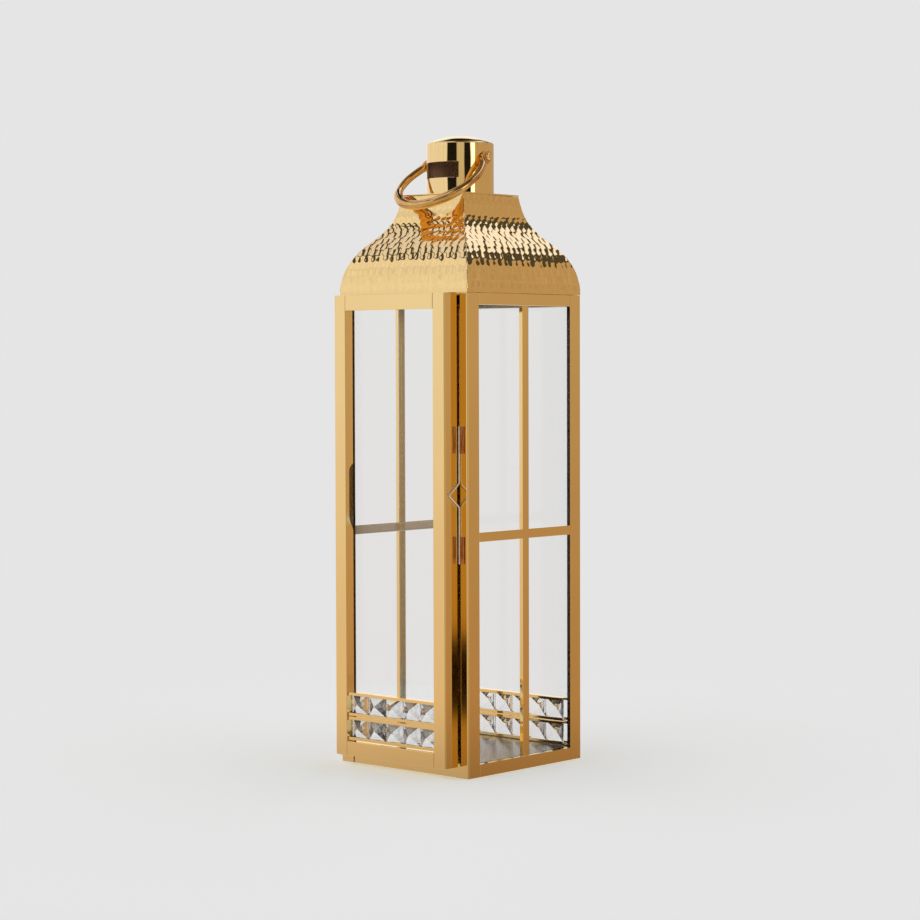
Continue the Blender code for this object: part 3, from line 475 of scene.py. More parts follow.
reach = wire.add("ShaderNodeVectorMath", {"operation": "LENGTH"}, {0: body_place(wire)}, out=1)
far_off = reach.between(*FAR_REACH)
floor_glow = colour(*(PAPER - PAPER_SHARE * light for light in PAPER_LIGHT))
# Painted shadow: round the lantern's foot, the paper's glow is lowered by a fixed amount, beyond the real
# shadow.
shaded_glow = colour(*(part - FOOT_SHADE for part in floor_glow[:3]))
near_glow = reach.between(*FOOT_REACH).blend(shaded_glow, floor_glow)
plug(paper_shader, "Base Color", far_off.blend(colour(*[PAPER_SHARE] * 3), colour(0, 0, 0)))
plug(paper_shader, "Emission Color", far_off.blend(near_glow, colour(*[PAPER] * 3)))
print("sweep", SWEEP_RADIUS, "m in radius")

# %% [markdown]
# ## Finishes
#
# The plating is bright gold over sheet that isn't perfectly flat. Gold's own colour goes on Base Color; two
# noises vary the roughness like wiping marks, and a long, shallow relief bends the mirror a little, as rolled
# sheet does.

# %% Plated gold
GOLD = colour(0.985, 0.752, 0.335)
RUBBED_GOLD = colour(0.955, 0.705, 0.288)
STEEL = colour(0.40, 0.385, 0.36)
BARE_SHEET = (colour(0.62, 0.71, 0.74), colour(0.79, 0.88, 0.92))
# Painted shade: near-black for the posts' inward faces, which lie in shade inside the lantern.
PAINTED_POST_SHADE = (colour(0.055, 0.045, 0.038), colour(0.10, 0.085, 0.07))
# Painted shade: dark brown for the faces deep in the door's opening, which lie in shade.
PAINTED_RECESS_SHADE = (colour(0.05, 0.035, 0.02), colour(0.16, 0.12, 0.07))
# Painted shade: dull brown for the inside of the chimney, which lies in shade.
PAINTED_CUP_SHADE = (colour(0.36, 0.265, 0.22), colour(0.52, 0.39, 0.33))
INNER_CUP = (28.6 * MM, 28.9 * MM)
# How deep in the door's opening the painted shade begins, and how its edge moves forward and back with height.
RECESS_DEPTH = 9.4 * MM
SHADE_REACH_RISE = (0.203, 0.218)
SHADE_REACH_DEPTH = 5.2 * MM
UPPER_RISE = (0.258, 0.272)
UPPER_DEPTH = 8.0 * MM
RECESS_SOFT = 0.3 * MM


def sheet_finish(name, bare_and_shade=None, dull_and_shade=BARE_SHEET, dullness=0.22, waves=30.0, depth=0.015 * MM):
    """Plated sheet. Where the mask is 1, it shows other colours: its unplated side on some pieces, painted
    shade on others.
    """
    material, shader, wire = new_finish(name, Base_Color=GOLD, Metallic=1.0, Roughness=0.06)
    place = body_place(wire)
    smears = wire.noise(place, 26.0, 4.0, 0.6, (1.0, 1.0, 0.35))
    specks = wire.noise(place, 420.0, 2.0, 0.6)
    gold = (smears * 0.5 + specks * 0.2).blend(GOLD, RUBBED_GOLD)
    rough = 0.02 + smears * 0.035 + specks * 0.015
    if bare_and_shade:
        inside = bare_and_shade(wire, place)
        gold = inside.blend(gold, specks.blend(*dull_and_shade))
        rough = rough + inside * dullness
    plug(shader, "Roughness", rough)
    plug(shader, "Base Color", gold)
    relief(shader, wire.noise(place, waves, 1.0, 0.4, (1.0, 1.0, 0.4)), depth)
    return material


def faces_inward(wire, place):
    """1 on faces that look towards the lantern's axis."""
    facing = wire.add("ShaderNodeTexCoord", out=1)
    flat = wire.add("ShaderNodeVectorMath", {"operation": "MULTIPLY"}, {0: place, 1: (1.0, 1.0, 0.0)})
    spoke = wire.add("ShaderNodeVectorMath", {"operation": "SUBTRACT"}, {0: flat, 1: tuple(AXIS)})
    spoke = wire.add("ShaderNodeVectorMath", {"operation": "NORMALIZE"}, {0: spoke})
    inward = wire.add("ShaderNodeVectorMath", {"operation": "DOT_PRODUCT"}, {0: facing, 1: spoke}, out=1)
    return (-inward).between(0.35, 0.55)


def deep_in_door(wire, place):
    """1 on the faces deep in the door's opening, where shade is painted: low down, and in a wider patch beside
    the latch's height.
    """
    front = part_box("door_stile_left")[0].y
    depth, height = (wire.add("ShaderNodeSeparateXYZ", sockets={0: place}, out=number) for number in (1, 2))
    above = height.between(*UPPER_RISE)
    shade_reach = height.between(*SHADE_REACH_RISE) * (1 - above)
    edge = front + RECESS_DEPTH - shade_reach * SHADE_REACH_DEPTH + above * UPPER_DEPTH
    return faces_inward(wire, place) * (depth - edge).between(-RECESS_SOFT, RECESS_SOFT)


def inside_cup(wire, place):
    """1 inside the chimney's wall."""
    flat = wire.add("ShaderNodeVectorMath", {"operation": "MULTIPLY"}, {0: place, 1: (1.0, 1.0, 0.0)})
    reach = wire.add("ShaderNodeVectorMath", {"operation": "DISTANCE"}, {0: flat, 1: tuple(AXIS)}, out=1)
    return faces_inward(wire, place) * (1 - reach.between(*INNER_CUP))


plated = sheet_finish("plated_gold")
plated_outside = sheet_finish("plated_gold_bare_inside", faces_inward)
# Painted shade: the posts' inward faces are painted near-black for the shade inside the lantern.
plated_post = sheet_finish("plated_gold_painted_shade_inside", faces_inward, PAINTED_POST_SHADE, 0.1)
# Painted shade: the faces deep in the door's opening are painted dark brown for the shade in the recess.
plated_stile = sheet_finish("plated_gold_painted_recess_shade", deep_in_door, PAINTED_RECESS_SHADE, 0.1)
# Painted shade: the inside of the chimney is painted a dull brown instead of gold, for the shade in the cup.
plated_cup = sheet_finish("plated_gold_painted_shade_in_cup", inside_cup, PAINTED_CUP_SHADE, 0.4, 60.0, 0.42 * MM)

# %% [markdown]
# The roof has the same plating. Its relief is real geometry, so the material only adds the fine skin of the
# hammering. The bail is darker: antiqued, then rubbed bright. Its rivets are struck gold. The latch has a wire
# of bright spring steel, whose near-white, half-diffuse base also paints in its highlights, and tabs of copper.

# %% Hammered and antiqued gold, spring wire and copper
hammered, shader, wire = new_finish("hammered_gold", Base_Color=GOLD, Metallic=1.0, Roughness=0.06)
place = body_place(wire)
marks = wire.noise(place, 150.0, 3.0, 0.55)
plug(shader, "Roughness", 0.03 + marks * 0.05)
plug(shader, "Base Color", marks.blend(GOLD, colour(0.96, 0.705, 0.29)))
relief(shader, marks, 0.03 * MM)

antique, shader, wire = new_finish("antiqued_gold", Base_Color=colour(0.80, 0.50, 0.20), Metallic=1.0,
                                   Roughness=0.10)
place = body_place(wire)
brushing = wire.noise(place, 70.0, 4.0, 0.6)
rubbed_off = brushing.between(0.3, 0.75)
plug(shader, "Base Color", rubbed_off.blend(colour(0.85, 0.535, 0.19), colour(0.60, 0.345, 0.11)))
plug(shader, "Roughness", 0.06 + brushing * 0.08)
relief(shader, wire.noise(place, 200.0, 2.0, 0.5), 0.02 * MM)

rivet_gold, shader, wire = new_finish("hammered_rivet_gold", Base_Color=GOLD, Metallic=1.0, Roughness=0.24)
struck = wire.noise(body_place(wire), 500.0, 2.0, 0.5)
plug(shader, "Roughness", 0.18 + struck * 0.14)
relief(shader, struck, 0.02 * MM)

# Partly painted highlight: besides the steel's own brightness, the near-white diffuse half makes the wire look
# bright from every side.
bright_wire_and_sheen, shader, wire = new_finish("bright_spring_wire_painted_sheen", Base_Color=colour(0.98, 0.95, 0.90), Metallic=0.5,
                                       Roughness=0.3)
place = body_place(wire)
drawn = wire.noise(place, 90.0, 3.0, 0.6, (6.0, 6.0, 0.4))
plug(shader, "Base Color", drawn.blend(colour(1.0, 0.99, 0.95), colour(0.97, 0.93, 0.86)))
plug(shader, "Roughness", 0.25 + drawn * 0.15)

copper, shader, wire = new_finish("copper_strip", Base_Color=colour(0.62, 0.30, 0.14), Metallic=1.0,
                                  Roughness=0.2)
rubbed = wire.noise(body_place(wire), 160.0, 3.0, 0.6, (1.0, 1.0, 0.3))
plug(shader, "Base Color", rubbed.blend(colour(0.66, 0.33, 0.16), colour(0.40, 0.17, 0.08)))
plug(shader, "Roughness", 0.14 + rubbed * 0.16)

# %% [markdown]
# The floor was never plated. It is rolled steel, with streaks.

# %% The floor's steel
floor_steel, shader, wire = new_finish("rolled_steel", Base_Color=STEEL, Metallic=1.0, Roughness=0.16)
place = body_place(wire)
streaks = wire.noise(place, 60.0, 4.0, 0.65, (0.25, 2.2, 1.0))
rolled = streaks.between(0.2, 0.85)
plug(shader, "Base Color", rolled.blend(colour(0.25, 0.215, 0.17), colour(0.34, 0.30, 0.235)))
plug(shader, "Roughness", 0.15 + streaks * 0.16)
relief(shader, streaks, 0.02 * MM)

# %% [markdown]
# Window glass is nearly unseen: it lets the light straight through and mirrors a few parts in a hundred, more
# at a slant. Mixing a clear shader with a sharp mirror by that share looks right, and doesn't dim what stands
# behind. The crystals are thick and cut, so they get true refraction.

# %% Pane glass and crystal
def fresnel(wire, straight=0.02):
    """How much a pane mirrors: a little straight on, nearly all at a slant."""
    slant = wire.add("ShaderNodeLayerWeight", sockets={"Blend": 0.5}, out=1)
    return straight + (1.0 - straight) * slant.math("POWER", 5.0)


pane, shader, wire = new_finish("pane_glass", Base_Color=colour(1, 1, 1), Metallic=1.0, Roughness=0.0)
clear = wire.add("ShaderNodeBsdfTransparent", sockets={"Color": colour(0.998, 0.999, 0.998)})
dust = wire.noise(body_place(wire), 18.0, 3.0, 0.5)
share = fresnel(wire) * (0.85 + dust * 0.3)
mixed = wire.add("ShaderNodeMixShader", sockets={0: share, 1: clear, 2: Wire(wire.tree, shader.outputs[0])})
pane.node_tree.links.new(mixed.socket, pane.node_tree.nodes["Material Output"].inputs["Surface"])

crystal, shader, wire = new_finish("cut_crystal", Base_Color=colour(0.99, 0.99, 0.99), Roughness=0.0, IOR=1.56,
                                   Transmission_Weight=1.0)
cloud = wire.noise(body_place(wire), 90.0, 2.0, 0.5)
plug(shader, "Base Color", cloud.blend(colour(1, 1, 1), colour(0.97, 0.975, 0.985)))
print("finishes:", [m.name for m in bpy.data.materials])

# %% [markdown]
# ## Sheet pieces
#
# The folded strips keep their solids' shapes, but real sheet has no razor edges: each fold and each cut edge
# catches a thin line of light. So every strip is copied, its triangles merged, its sharp edges rounded a
# little, and the copy stands for the node. A flat mirror shows at once when its shading leans towards a
# neighbour, so only faces of about the same size share their shading.

# %% A finished copy of a node
NEARLY_FLAT = math.radians(0.3)
FLAT_SHARE = 4.0
FLAT_BEND = 0.5
MOST_SHARED_BEND = 24.0
STRIP_EDGE = 0.25 * MM
THIN_EDGE = 0.15 * MM
CRYSTAL_EDGE = 0.12 * MM
CRYSTAL_BEND = 10.0


def shade_bends(bm, sharp):
    """Shades bends and rounded edges smooth, but keeps each large flat face beside them truly flat."""
    for face in bm.faces:
        face.smooth = True
    for edge in bm.edges:
        small, large = sorted([face.calc_area() for face in edge.link_faces] + [0.0, 0.0])[-2:]
        angle = math.degrees(edge.calc_face_angle(math.pi))
        edge.smooth = angle < sharp and (angle < FLAT_BEND or large < FLAT_SHARE * small)


def open_solid(node):
    """A node's solid, with its corners welded and its flat faces whole again."""
    bm = bmesh.new()
    bm.from_mesh(frame["nodes"][node].data)
    bmesh.ops.remove_doubles(bm, verts=bm.verts, dist=2 * WELD)
    bmesh.ops.dissolve_limit(bm, angle_limit=NEARLY_FLAT, verts=bm.verts, edges=bm.edges)
    return bm


def settle(mesh, node):
    """Makes a mesh an object that stands for a node and moves with it."""
    piece = bpy.data.objects.new(mesh.name, mesh)
    scene.collection.objects.link(piece)
    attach(piece, frame["nodes"][node]["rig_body"])
    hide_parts(node)
    return piece


def dress(node, material, width=STRIP_EDGE, segments=2, sharp=30.0):
    """A copy of a node whose sharp edges are rounded."""
    bm = open_solid(node)
    round_edges(bm, sharp_edges(bm, sharp), width, segments)
    shade_bends(bm, min(sharp, MOST_SHARED_BEND))
    return settle(mesh_of(bm, node + "_finished", material), node)


def nodes_named(*starts):
    """The nodes whose names start with any of these words."""
    return [node for node in frame["nodes"] if node.startswith(starts)]

# %% Round the strips' edges
STRIPS = ((plated_post, ("post_",)), (plated_outside, ("sill_", "top_rail_", "muntin_")),
          (plated_stile, ("door_stile",)),
          (plated, ("door_rail", "door_crystal_channel", "back_crystal_channel", "roof_platform")))
strips = [dress(node, finish) for finish, names in STRIPS for node in nodes_named(*names)]
dress("floor_pan", floor_steel)
print(len(strips), "strips")

# %% Hinges
hinges = [dress(node, plated, THIN_EDGE) for node in nodes_named("hinge_")]
print(len(hinges), "hinge pieces")

# %% Panes
panes = [dress(node, pane, THIN_EDGE, segments=1)
         for node in nodes_named("glass_", "door_glass")]
print(len(panes), "panes")

# %% Door crystals
crystals = [dress(node, crystal, CRYSTAL_EDGE, segments=1, sharp=CRYSTAL_BEND)
            for node in nodes_named("door_crystal_lower", "door_crystal_upper")]
print(len(crystals), "crystals on the door")

# %% [markdown]
# The solids keep each row at the back as one bar. On the real lantern they are six loose squares, so the bar
# is sawn at the five lines between its pyramids and each cut is closed again.

# %% Saw the back rows into squares
SAW = 0.3 * MM
PER_ROW = 6


def saw(node):
    """A copy of a bar, cut into squares with a hairline between them."""
    low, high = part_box(node)
    width = (high.x - low.x) / PER_ROW
    whole = bmesh.new()
    for number in range(PER_ROW):
        bm = open_solid(node)
        for side, place in ((-1, low.x + number * width), (1, low.x + (number + 1) * width)):
            if low.x + SAW < place < high.x - SAW:
                cut = bmesh.ops.bisect_plane(
                    bm, geom=bm.verts[:] + bm.edges[:] + bm.faces[:], plane_co=(place - side * SAW / 2, 0, 0),
                    plane_no=(side, 0, 0), clear_outer=True)
                rim = [item for item in cut["geom_cut"] if isinstance(item, bmesh.types.BMEdge)]
                bmesh.ops.contextual_create(bm, geom=rim)
        round_edges(bm, sharp_edges(bm, CRYSTAL_BEND), CRYSTAL_EDGE, segments=1)
        square = mesh_of(bm, "square")
        whole.from_mesh(square)
        bpy.data.meshes.remove(square)
    return settle(mesh_of(whole, node + "_squares", crystal), node)


for node in nodes_named("back_crystal_bar"):
    print(node, len(saw(node).data.polygons), "faces")

# %% [markdown]
# ## The chimney
#
# The cup is drawn from one sheet: a straight wall, a tight shoulder and a shallow dome. Half of its section is
# spun round the axis. The slots are then cut by taking faces away, and the skin gets the sheet's thickness.

# %% Spin the cup
chimney_foot = chimney_low.z
CUP_RADIUS = (chimney_high.x - chimney_low.x) / 2
CUP_SHEET = 1.2 * MM
DOME_RISE = 8.0 * MM
DOME_EDGE = 1.8 * MM
DOME_TILT = math.radians(25.0)
FOOT_RING = 4.0 * MM
TOP_RING = 2.0 * MM
SLOT_LOW = 13.7 * MM
SLOT_HIGH = 27.4 * MM
SLOT_HALF_ANGLE = math.radians(39.375)
CUP_STEPS = 96
SHOULDER_STEPS = 6
DOME_STEPS = 16

wall_top = chimney_high.z - DOME_RISE
heights = [0.0, FOOT_RING, SLOT_LOW, (SLOT_LOW + SLOT_HIGH) / 2, SLOT_HIGH,
           wall_top - chimney_foot - TOP_RING]
cup_line = [Vector((CUP_RADIUS, 0, chimney_foot + height)) for height in heights]
for step in range(SHOULDER_STEPS + 1):
    bend = (math.pi / 2 - DOME_TILT) * step / SHOULDER_STEPS
    cup_line.append(Vector((CUP_RADIUS - DOME_EDGE * (1 - math.cos(bend)), 0,
                            wall_top + DOME_EDGE * math.sin(bend))))
shoulder = cup_line[-1]
for step in range(1, DOME_STEPS + 1):
    share = step / DOME_STEPS
    lift = (chimney_high.z - shoulder.z) * (1 - (1 - share) ** 2)
    cup_line.append(Vector((shoulder.x * (1 - share), 0, shoulder.z + lift)))
bm = spin_outline(cup_line, CUP_STEPS, math.tau / CUP_STEPS / 2)


def in_slot(face):
    """Whether a face of the cup lies in one of the two vent slots."""
    middle = face.calc_center_median()
    aside = abs(math.atan2(middle.x, abs(middle.y)))
    return aside < SLOT_HALF_ANGLE and SLOT_LOW < middle.z - chimney_foot < SLOT_HIGH


bmesh.ops.delete(bm, geom=[face for face in bm.faces if in_slot(face)], context="FACES")
bmesh.ops.recalc_face_normals(bm, faces=bm.faces)
thicken(bm, CUP_SHEET)
bmesh.ops.translate(bm, vec=AXIS, verts=bm.verts)
round_edges(bm, sharp_edges(bm, 60.0), THIN_EDGE)
cup = mesh_of(bm, "chimney_cup", plated_cup, smooth_up_to=20.0)
settle(cup, "chimney")
print("cup", len(cup.polygons), "faces, radius", round(CUP_RADIUS / MM, 1), "mm")

# %% [markdown]
# ## The bail
#
# The bail is a round rod, bent to a half ellipse, whose two ends were flattened under a press into ears for the
# rivets. Rings of the rod's section are set along its middle line and bridged. In the ears the section is a
# flat, rounded rectangle, and a short ramp leads from it to the round rod.

# %% Sizes of the bail
PIVOT = AXIS + Vector((0, 0, 530.0 * MM))
BAIL_REST = math.radians(37.25)
ROD_RADIUS = 3.3 * MM
EAR_HALF_SHEET = 1.3 * MM
EAR_HALF_WIDTH = 5.2 * MM
EAR_BEND = 5.0 * MM
RAMP_START = 9.6 * MM
RAMP_END = 11.8 * MM
NARROW_START = 6.6 * MM
NARROW_END = 13.8 * MM
EAR_MIDDLE = 31.3 * MM
BAIL_HALF = 41.0 * MM
BAIL_WIDEST = 32.4 * MM
BAIL_REACH = 71.2 * MM
GRIP_SWELL = 0.8 * MM
RING_SIDES = 28
GRIP_START = 45 * MM
GRIP_FULL = 57 * MM
STRAIGHT_END = 0.25
EAR_SQUARENESS = 5.0
ROD_SQUARENESS = 2.0


def bail_point(turn):
    """A point of the bail's middle line, with the pivots at 0 and 1, before it is turned to its rest."""
    side = 1 if turn < 0.5 else -1
    share = min(turn, 1 - turn) / STRAIGHT_END
    if share < 1:
        along = BAIL_WIDEST * share
        bend = max(along - EAR_BEND, 0.0) / (BAIL_WIDEST - EAR_BEND)
        out = EAR_MIDDLE + (BAIL_HALF - EAR_MIDDLE) * math.sin(bend * math.pi / 2)
        return Vector((side * out, -along, 0))
    angle = (share - 1) * math.pi / 2
    return Vector((side * BAIL_HALF * math.cos(angle),
                   -BAIL_WIDEST - (BAIL_REACH - BAIL_WIDEST) * math.sin(angle), 0))


def bail_section(distance):
    """Half sheet, half width and squareness of the section at a distance from the pivot."""
    round_share = smooth(RAMP_START, RAMP_END, distance)
    narrow = smooth(NARROW_START, NARROW_END, distance)
    radius = ROD_RADIUS + GRIP_SWELL * smooth(GRIP_START, GRIP_FULL, distance)
    half = EAR_HALF_SHEET + (radius - EAR_HALF_SHEET) * round_share
    wide = EAR_HALF_WIDTH + (radius - EAR_HALF_WIDTH) * narrow
    return half, wide, EAR_SQUARENESS + (ROD_SQUARENESS - EAR_SQUARENESS) * round_share

# %% Set the rings and bridge them
def section_ring(bm, centre, sideways, half, wide, square):
    """A ring of the rod's section: a circle, pressed towards a rounded rectangle."""
    made = bmesh.ops.create_circle(bm, cap_ends=False, radius=1.0, segments=RING_SIDES)
    ring = made["verts"]
    for vert in ring:
        thin, broad = (math.copysign(abs(part) ** (2 / square), part) for part in (vert.co.x, vert.co.y))
        vert.co = centre + sideways * half * thin + Vector((0, 0, wide * broad))
    return edges_of(ring)


SPANS = ((14, 0.075), (10, STRAIGHT_END), (34, 0.5))  # rings, and how far along the bail they reach
STEP_AHEAD = 0.002
TIP_SHARES = (0.25, 0.5, 0.7, 0.85, 0.95, 0.995)

stations = [0.0]
for count, reach in SPANS:
    start_turn = stations[-1]
    stations += [start_turn + (reach - start_turn) * (n + 1) / count for n in range(count)]
stations += [1 - turn for turn in reversed(stations[:-1])]
rings = []
for turn in stations:
    here = bail_point(turn)
    run = (bail_point(min(turn + STEP_AHEAD, 1.0)) - bail_point(max(turn - STEP_AHEAD, 0.0))).normalized()
    distance = min((here - bail_point(0.0)).length, (here - bail_point(1.0)).length)
    sideways = Vector((-run.y, run.x, 0))
    if distance < EAR_BEND:
        sideways = Vector((math.copysign(1.0, sideways.x), 0, 0))
    rings.append((here, sideways, *bail_section(distance)))
for end in (0, -1):
    here, sideways, half, wide, square = rings[end]
    tip = [(here + Vector((0, wide * share, 0)), sideways, half, wide * math.sqrt(1 - share * share), square)
           for share in TIP_SHARES]
    rings = tip[::-1] + rings if end == 0 else rings + tip
bm = bmesh.new()
join_rings(bm, [section_ring(bm, *ring) for ring in rings])
bmesh.ops.recalc_face_normals(bm, faces=bm.faces)
turn_and_move(bm, BAIL_REST, "X", PIVOT)
settle(mesh_of(bm, "bent_bail", antique, smooth_up_to=38.0), "bail_handle")
print("bail", len(rings), "rings")

# %% [markdown]
# Each ear turns on a rivet with a domed head. Half of the rivet's outline is spun: shank, flat underside, and
# the dome.

# %% Rivets
INNER_HEAD = 2.4 * MM
INNER_HEAD_SHEET = 1.2 * MM
SHANK = 1.4 * MM
EAR_PLAY = 0.15 * MM
HEAD_STEPS = 8
RIVET_STEPS = 32


def rivet(side, sign):
    """A rivet through the chimney's wall and the ear, with its inner head inside the cup."""
    low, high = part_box(f"handle_pin_{side}")
    radius = (high.z - low.z) / 2
    outer = max(abs(low.x), abs(high.x))
    inner = min(abs(low.x), abs(high.x))
    neck = inner + INNER_HEAD_SHEET
    face = EAR_MIDDLE + EAR_HALF_SHEET + EAR_PLAY
    outline = [Vector((0, 0, inner)), Vector((INNER_HEAD, 0, inner)), Vector((INNER_HEAD, 0, neck)),
               Vector((SHANK, 0, neck)), Vector((SHANK, 0, face)), Vector((radius, 0, face))]
    rise_start = face + (outer - face) / 4
    for step in range(HEAD_STEPS + 1):
        bend = math.pi / 2 * step / HEAD_STEPS
        outline.append(Vector((radius * math.cos(bend), 0, rise_start + (outer - rise_start) * math.sin(bend))))
    bm = spin_outline(outline, RIVET_STEPS)
    bmesh.ops.recalc_face_normals(bm, faces=bm.faces)
    turn_and_move(bm, sign * math.pi / 2, "Y", PIVOT)
    mesh = mesh_of(bm, f"rivet_{side}", rivet_gold, smooth_up_to=35.0)
    return settle(mesh, f"handle_pin_{side}")


for side, sign in (("left", -1), ("right", 1)):
    print(rivet(side, sign).name)

# %% [markdown]
# ## The latch
#
# A springy round wire runs down the right front post. It bows forward in the middle, and the door's side snaps
# past the bow. Two folded tabs hold the wire to the post. The wire is a chain of rings along its path, with
# short bends where the path turns.

# %% The wire and its tabs
latch_low, latch_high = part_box("latch_spring")
WIRE = 0.65 * MM
wire_x = latch_low.x + WIRE
wire_y = latch_high.y - WIRE
bow_y = latch_low.y + WIRE
latch_middle = (latch_low.z + latch_high.z) / 2
BOW_HALF = 10.0 * MM
WIRE_SIDES = 14
WIRE_BEND = 1.6 * MM
TAB_LENGTH = 23.0 * MM
TAB_SHEET = 0.8 * MM
TAB_EDGE = 0.2 * MM
path = [Vector((wire_x, wire_y, latch_high.z)), Vector((wire_x, wire_y, latch_middle + BOW_HALF)),
        Vector((wire_x, bow_y, latch_middle)), Vector((wire_x, wire_y, latch_middle - BOW_HALF)),
        Vector((wire_x, wire_y, latch_low.z))]


def soften(points, reach, steps=5):
    """Replaces the inner corners of a path by short bends."""
    bent = [points[0]]
    for before, corner, after in zip(points, points[1:], points[2:]):
        start = corner + (before - corner).normalized() * reach
        stop = corner + (after - corner).normalized() * reach
        for step in range(steps + 1):
            share = step / steps
            bent.append(start.lerp(corner, share).lerp(corner.lerp(stop, share), share))
    return bent + [points[-1]]


centres = soften(path, WIRE_BEND)
bm = bmesh.new()
rings = []
for number, centre in enumerate(centres):
    run = (centres[min(number + 1, len(centres) - 1)] - centres[max(number - 1, 0)]).normalized()
    placing = Matrix.Translation(centre) @ run.to_track_quat("Z", "X").to_matrix().to_4x4()
    made = bmesh.ops.create_circle(bm, cap_ends=False, radius=WIRE, segments=WIRE_SIDES, matrix=placing)
    rings.append(edges_of(made["verts"]))
join_rings(bm, rings)
for foot in (latch_low.z, latch_high.z - TAB_LENGTH):
    tab = bmesh.ops.create_cube(bm, size=1.0)["verts"]
    for face in {face for vert in tab for face in vert.link_faces}:
        face.material_index = 1
    size = Vector((latch_high.x - wire_x, TAB_SHEET, TAB_LENGTH))
    bmesh.ops.scale(bm, vec=size, verts=tab)
    middle = Vector((wire_x + size.x / 2, latch_high.y - TAB_SHEET / 2, foot + TAB_LENGTH / 2))
    bmesh.ops.translate(bm, vec=middle, verts=tab)
    round_edges(bm, list(edges_of(tab)), TAB_EDGE)
bmesh.ops.recalc_face_normals(bm, faces=bm.faces)
latch = mesh_of(bm, "latch_wire", bright_wire_and_sheen, copper, smooth_up_to=40.0)
settle(latch, "latch_spring")
print("latch", len(latch.polygons), "faces")

# %% [markdown]
# ## The hammered roof
#
# Each panel is a sheet with an S-shaped section, hammered before it was bent: rows of shallow dishes, deep on
# the slope, about half as deep near the foot, and nearly gone under the platform. A fine grid is laid on the
# section, and every point sinks as far as its place in the nearest dish says. The dishes are real geometry,
# because a bump in a material wouldn't show in the outline or in the mesh.

# %% The roof's section
roof_low, roof_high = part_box("roof_panel_right")
BODY_HALF = 0.075
ROOF_FOOT = roof_low.z
ROOF_RISE = roof_high.z - roof_low.z
CROWN_HALF = 0.0364
SHOULDER = Vector((0.053, 0.049))
SHOULDER_SLOPE = math.radians(46.0)
FOOT_PULL = 0.022
LOWER_PULL = 0.020
UPPER_PULL = 0.016
CROWN_PULL = 0.018
CROWN_LEAN = 0.003
CURVE_STEPS = 100


def bezier(points, share):
    """A point of a cubic curve."""
    rest = 1 - share
    weights = (rest ** 3, 3 * rest * rest * share, 3 * rest * share * share, share ** 3)
    return sum((point * weight for point, weight in zip(points, weights)), Vector((0.0, 0.0)))


slope = Vector((-math.cos(SHOULDER_SLOPE), math.sin(SHOULDER_SLOPE)))
foot_curve = (Vector((BODY_HALF, 0.0)), Vector((BODY_HALF, FOOT_PULL)), SHOULDER - slope * LOWER_PULL,
              SHOULDER)
head_curve = (SHOULDER, SHOULDER + slope * UPPER_PULL,
              Vector((CROWN_HALF + CROWN_LEAN, ROOF_RISE - CROWN_PULL)), Vector((CROWN_HALF, ROOF_RISE)))
fine = [bezier(curve, n / CURVE_STEPS) for curve in (foot_curve, head_curve) for n in range(CURVE_STEPS)]
fine.append(head_curve[-1])
lengths = [0.0]
for first, second in zip(fine, fine[1:]):
    lengths.append(lengths[-1] + (second - first).length)
ROOF_LENGTH = lengths[-1]
print("section", round(ROOF_LENGTH / MM, 1), "mm long, rise", round(ROOF_RISE / MM, 1))


def section_at(length):
    """The section's point and outward direction at a length from its foot."""
    length = min(max(length, 0.0), ROOF_LENGTH * 0.99999)
    low, high = 0, len(lengths) - 1
    while high - low > 1:
        middle = (low + high) // 2
        low, high = (middle, high) if lengths[middle] <= length else (low, middle)
    share = (length - lengths[low]) / (lengths[high] - lengths[low])
    point = fine[low].lerp(fine[high], share)
    before = fine[max(low - 1, 0)]
    after = fine[min(high + 1, len(fine) - 1)]
    run = (after - before).normalized()
    return point, Vector((run.y, -run.x))

# %% Hammer marks
DISH_PITCH = 7.4 * MM
ROW_PITCH = 6.6 * MM
DISH_DEPTH = 0.23 * MM
STRAY = 0.4
DISH_TOP = 1.6
SLOPE_FOOT = (22 * MM, 32 * MM)
SLOPE_HEAD = (60 * MM, 72 * MM)
FOOT_SHARE = 0.55
HEAD_SHARE = 0.16


def dish_height(aside, length, seed):
    """How far a point stands above the bottom of its dish, from 0 to about 1."""
    row = round(length / ROW_PITCH)
    best = math.inf
    for r in (row - 1, row, row + 1):
        shift = 0.5 * (r % 2)
        column = round(aside / DISH_PITCH - shift)
        for c in (column - 1, column, column + 1):
            stray = noise.cell_vector(Vector((r + 0.5, c + 0.5, seed + 0.5)))
            dx = aside / DISH_PITCH - shift - c + (stray.x - 0.5) * STRAY
            dy = (length / ROW_PITCH - r + (stray.y - 0.5) * STRAY) * ROW_PITCH / DISH_PITCH
            best = min(best, dx * dx + dy * dy)
    return min(best * 4.0, DISH_TOP)


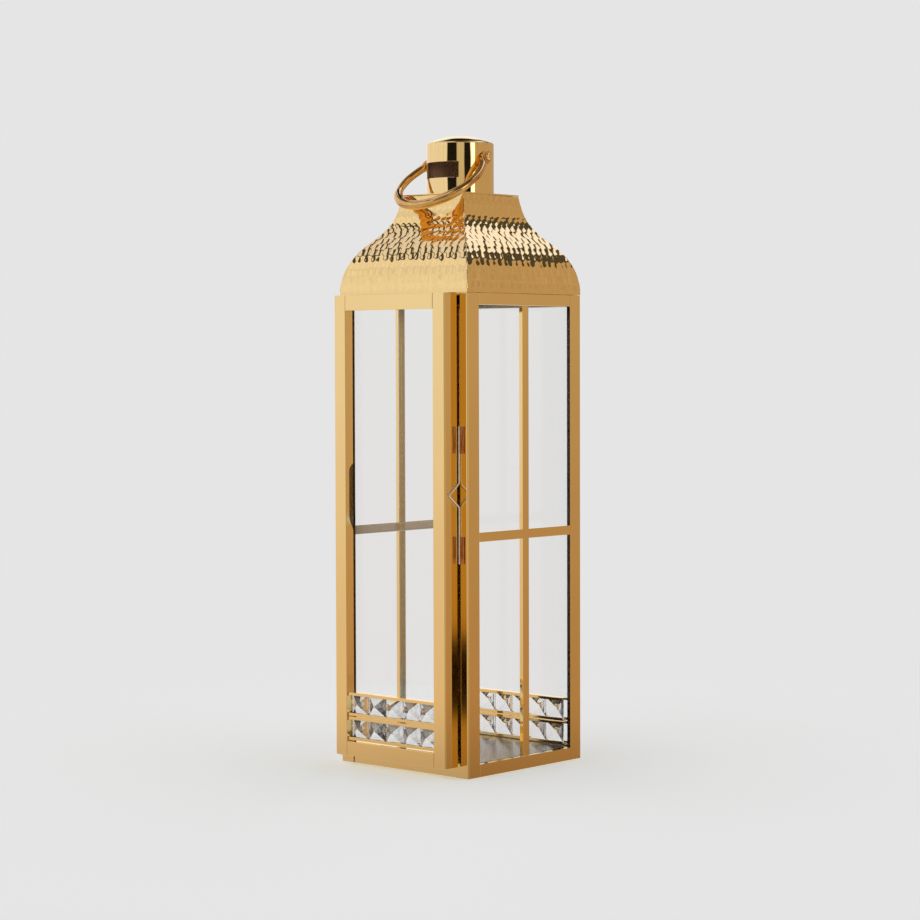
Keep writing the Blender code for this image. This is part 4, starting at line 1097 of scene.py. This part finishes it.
def hammer_share(height):
    """How hard the sheet was hammered at a height above the roof's foot, in metres."""
    rising = smooth(*SLOPE_FOOT, height)
    fading = 1 - smooth(*SLOPE_HEAD, height)
    return FOOT_SHARE * (1 - rising) + rising * (HEAD_SHARE + (1 - HEAD_SHARE) * fading)

# %% Raise a panel
COLUMNS = 170
ROWS = 130
SHEET = 1.2 * MM
RIDGE_GAP = 0.14 * MM
RIDGE_ROUND = 0.3 * MM
RIDGE_FADE = 2.0 * MM
LEVEL = 0.6
CROWDING = 0.6
CROWD_POWER = 12


def roof_panel(side, turn, seed):
    """One hammered panel: a grid laid on the section, sunk by its dishes, and given the sheet's thickness."""
    bm = bmesh.new()
    bmesh.ops.create_grid(bm, x_segments=COLUMNS, y_segments=ROWS, size=1.0)
    for vert in bm.verts:
        share, along = vert.co.x, (vert.co.y + 1) / 2
        edge = min(abs(share), 1.0)
        edge += CROWDING * edge ** CROWD_POWER * (1 - edge)  # columns crowd towards the ridges
        point, out = section_at(along * ROOF_LENGTH)
        reach = point.x - RIDGE_GAP
        aside = math.copysign(min(edge, 1.0) * reach, share)
        sink = (dish_height(aside, along * ROOF_LENGTH, seed) - LEVEL) * DISH_DEPTH * hammer_share(point.y)
        near = reach - abs(aside)
        fade = smooth(0.0, RIDGE_FADE, near)
        if near < RIDGE_ROUND:
            sink -= RIDGE_ROUND - math.sqrt(RIDGE_ROUND ** 2 - (RIDGE_ROUND - near) ** 2) - sink * (1 - fade)
        vert.co = Vector((point.x + out.x * sink, aside, ROOF_FOOT + point.y + out.y * sink))
    bmesh.ops.recalc_face_normals(bm, faces=bm.faces)
    if sum(face.normal.x for face in bm.faces) < 0:
        bmesh.ops.reverse_faces(bm, faces=bm.faces)
    thicken(bm, SHEET)
    turn_and_move(bm, turn, "Z", AXIS)
    mesh = mesh_of(bm, f"roof_hammered_{side}", hammered, smooth_up_to=40.0)
    return settle(mesh, f"roof_panel_{side}")


for number, side in enumerate(("right", "back", "left", "front")):
    panel = roof_panel(side, number * math.pi / 2, number)
    print(panel.name, len(panel.data.polygons), "faces")
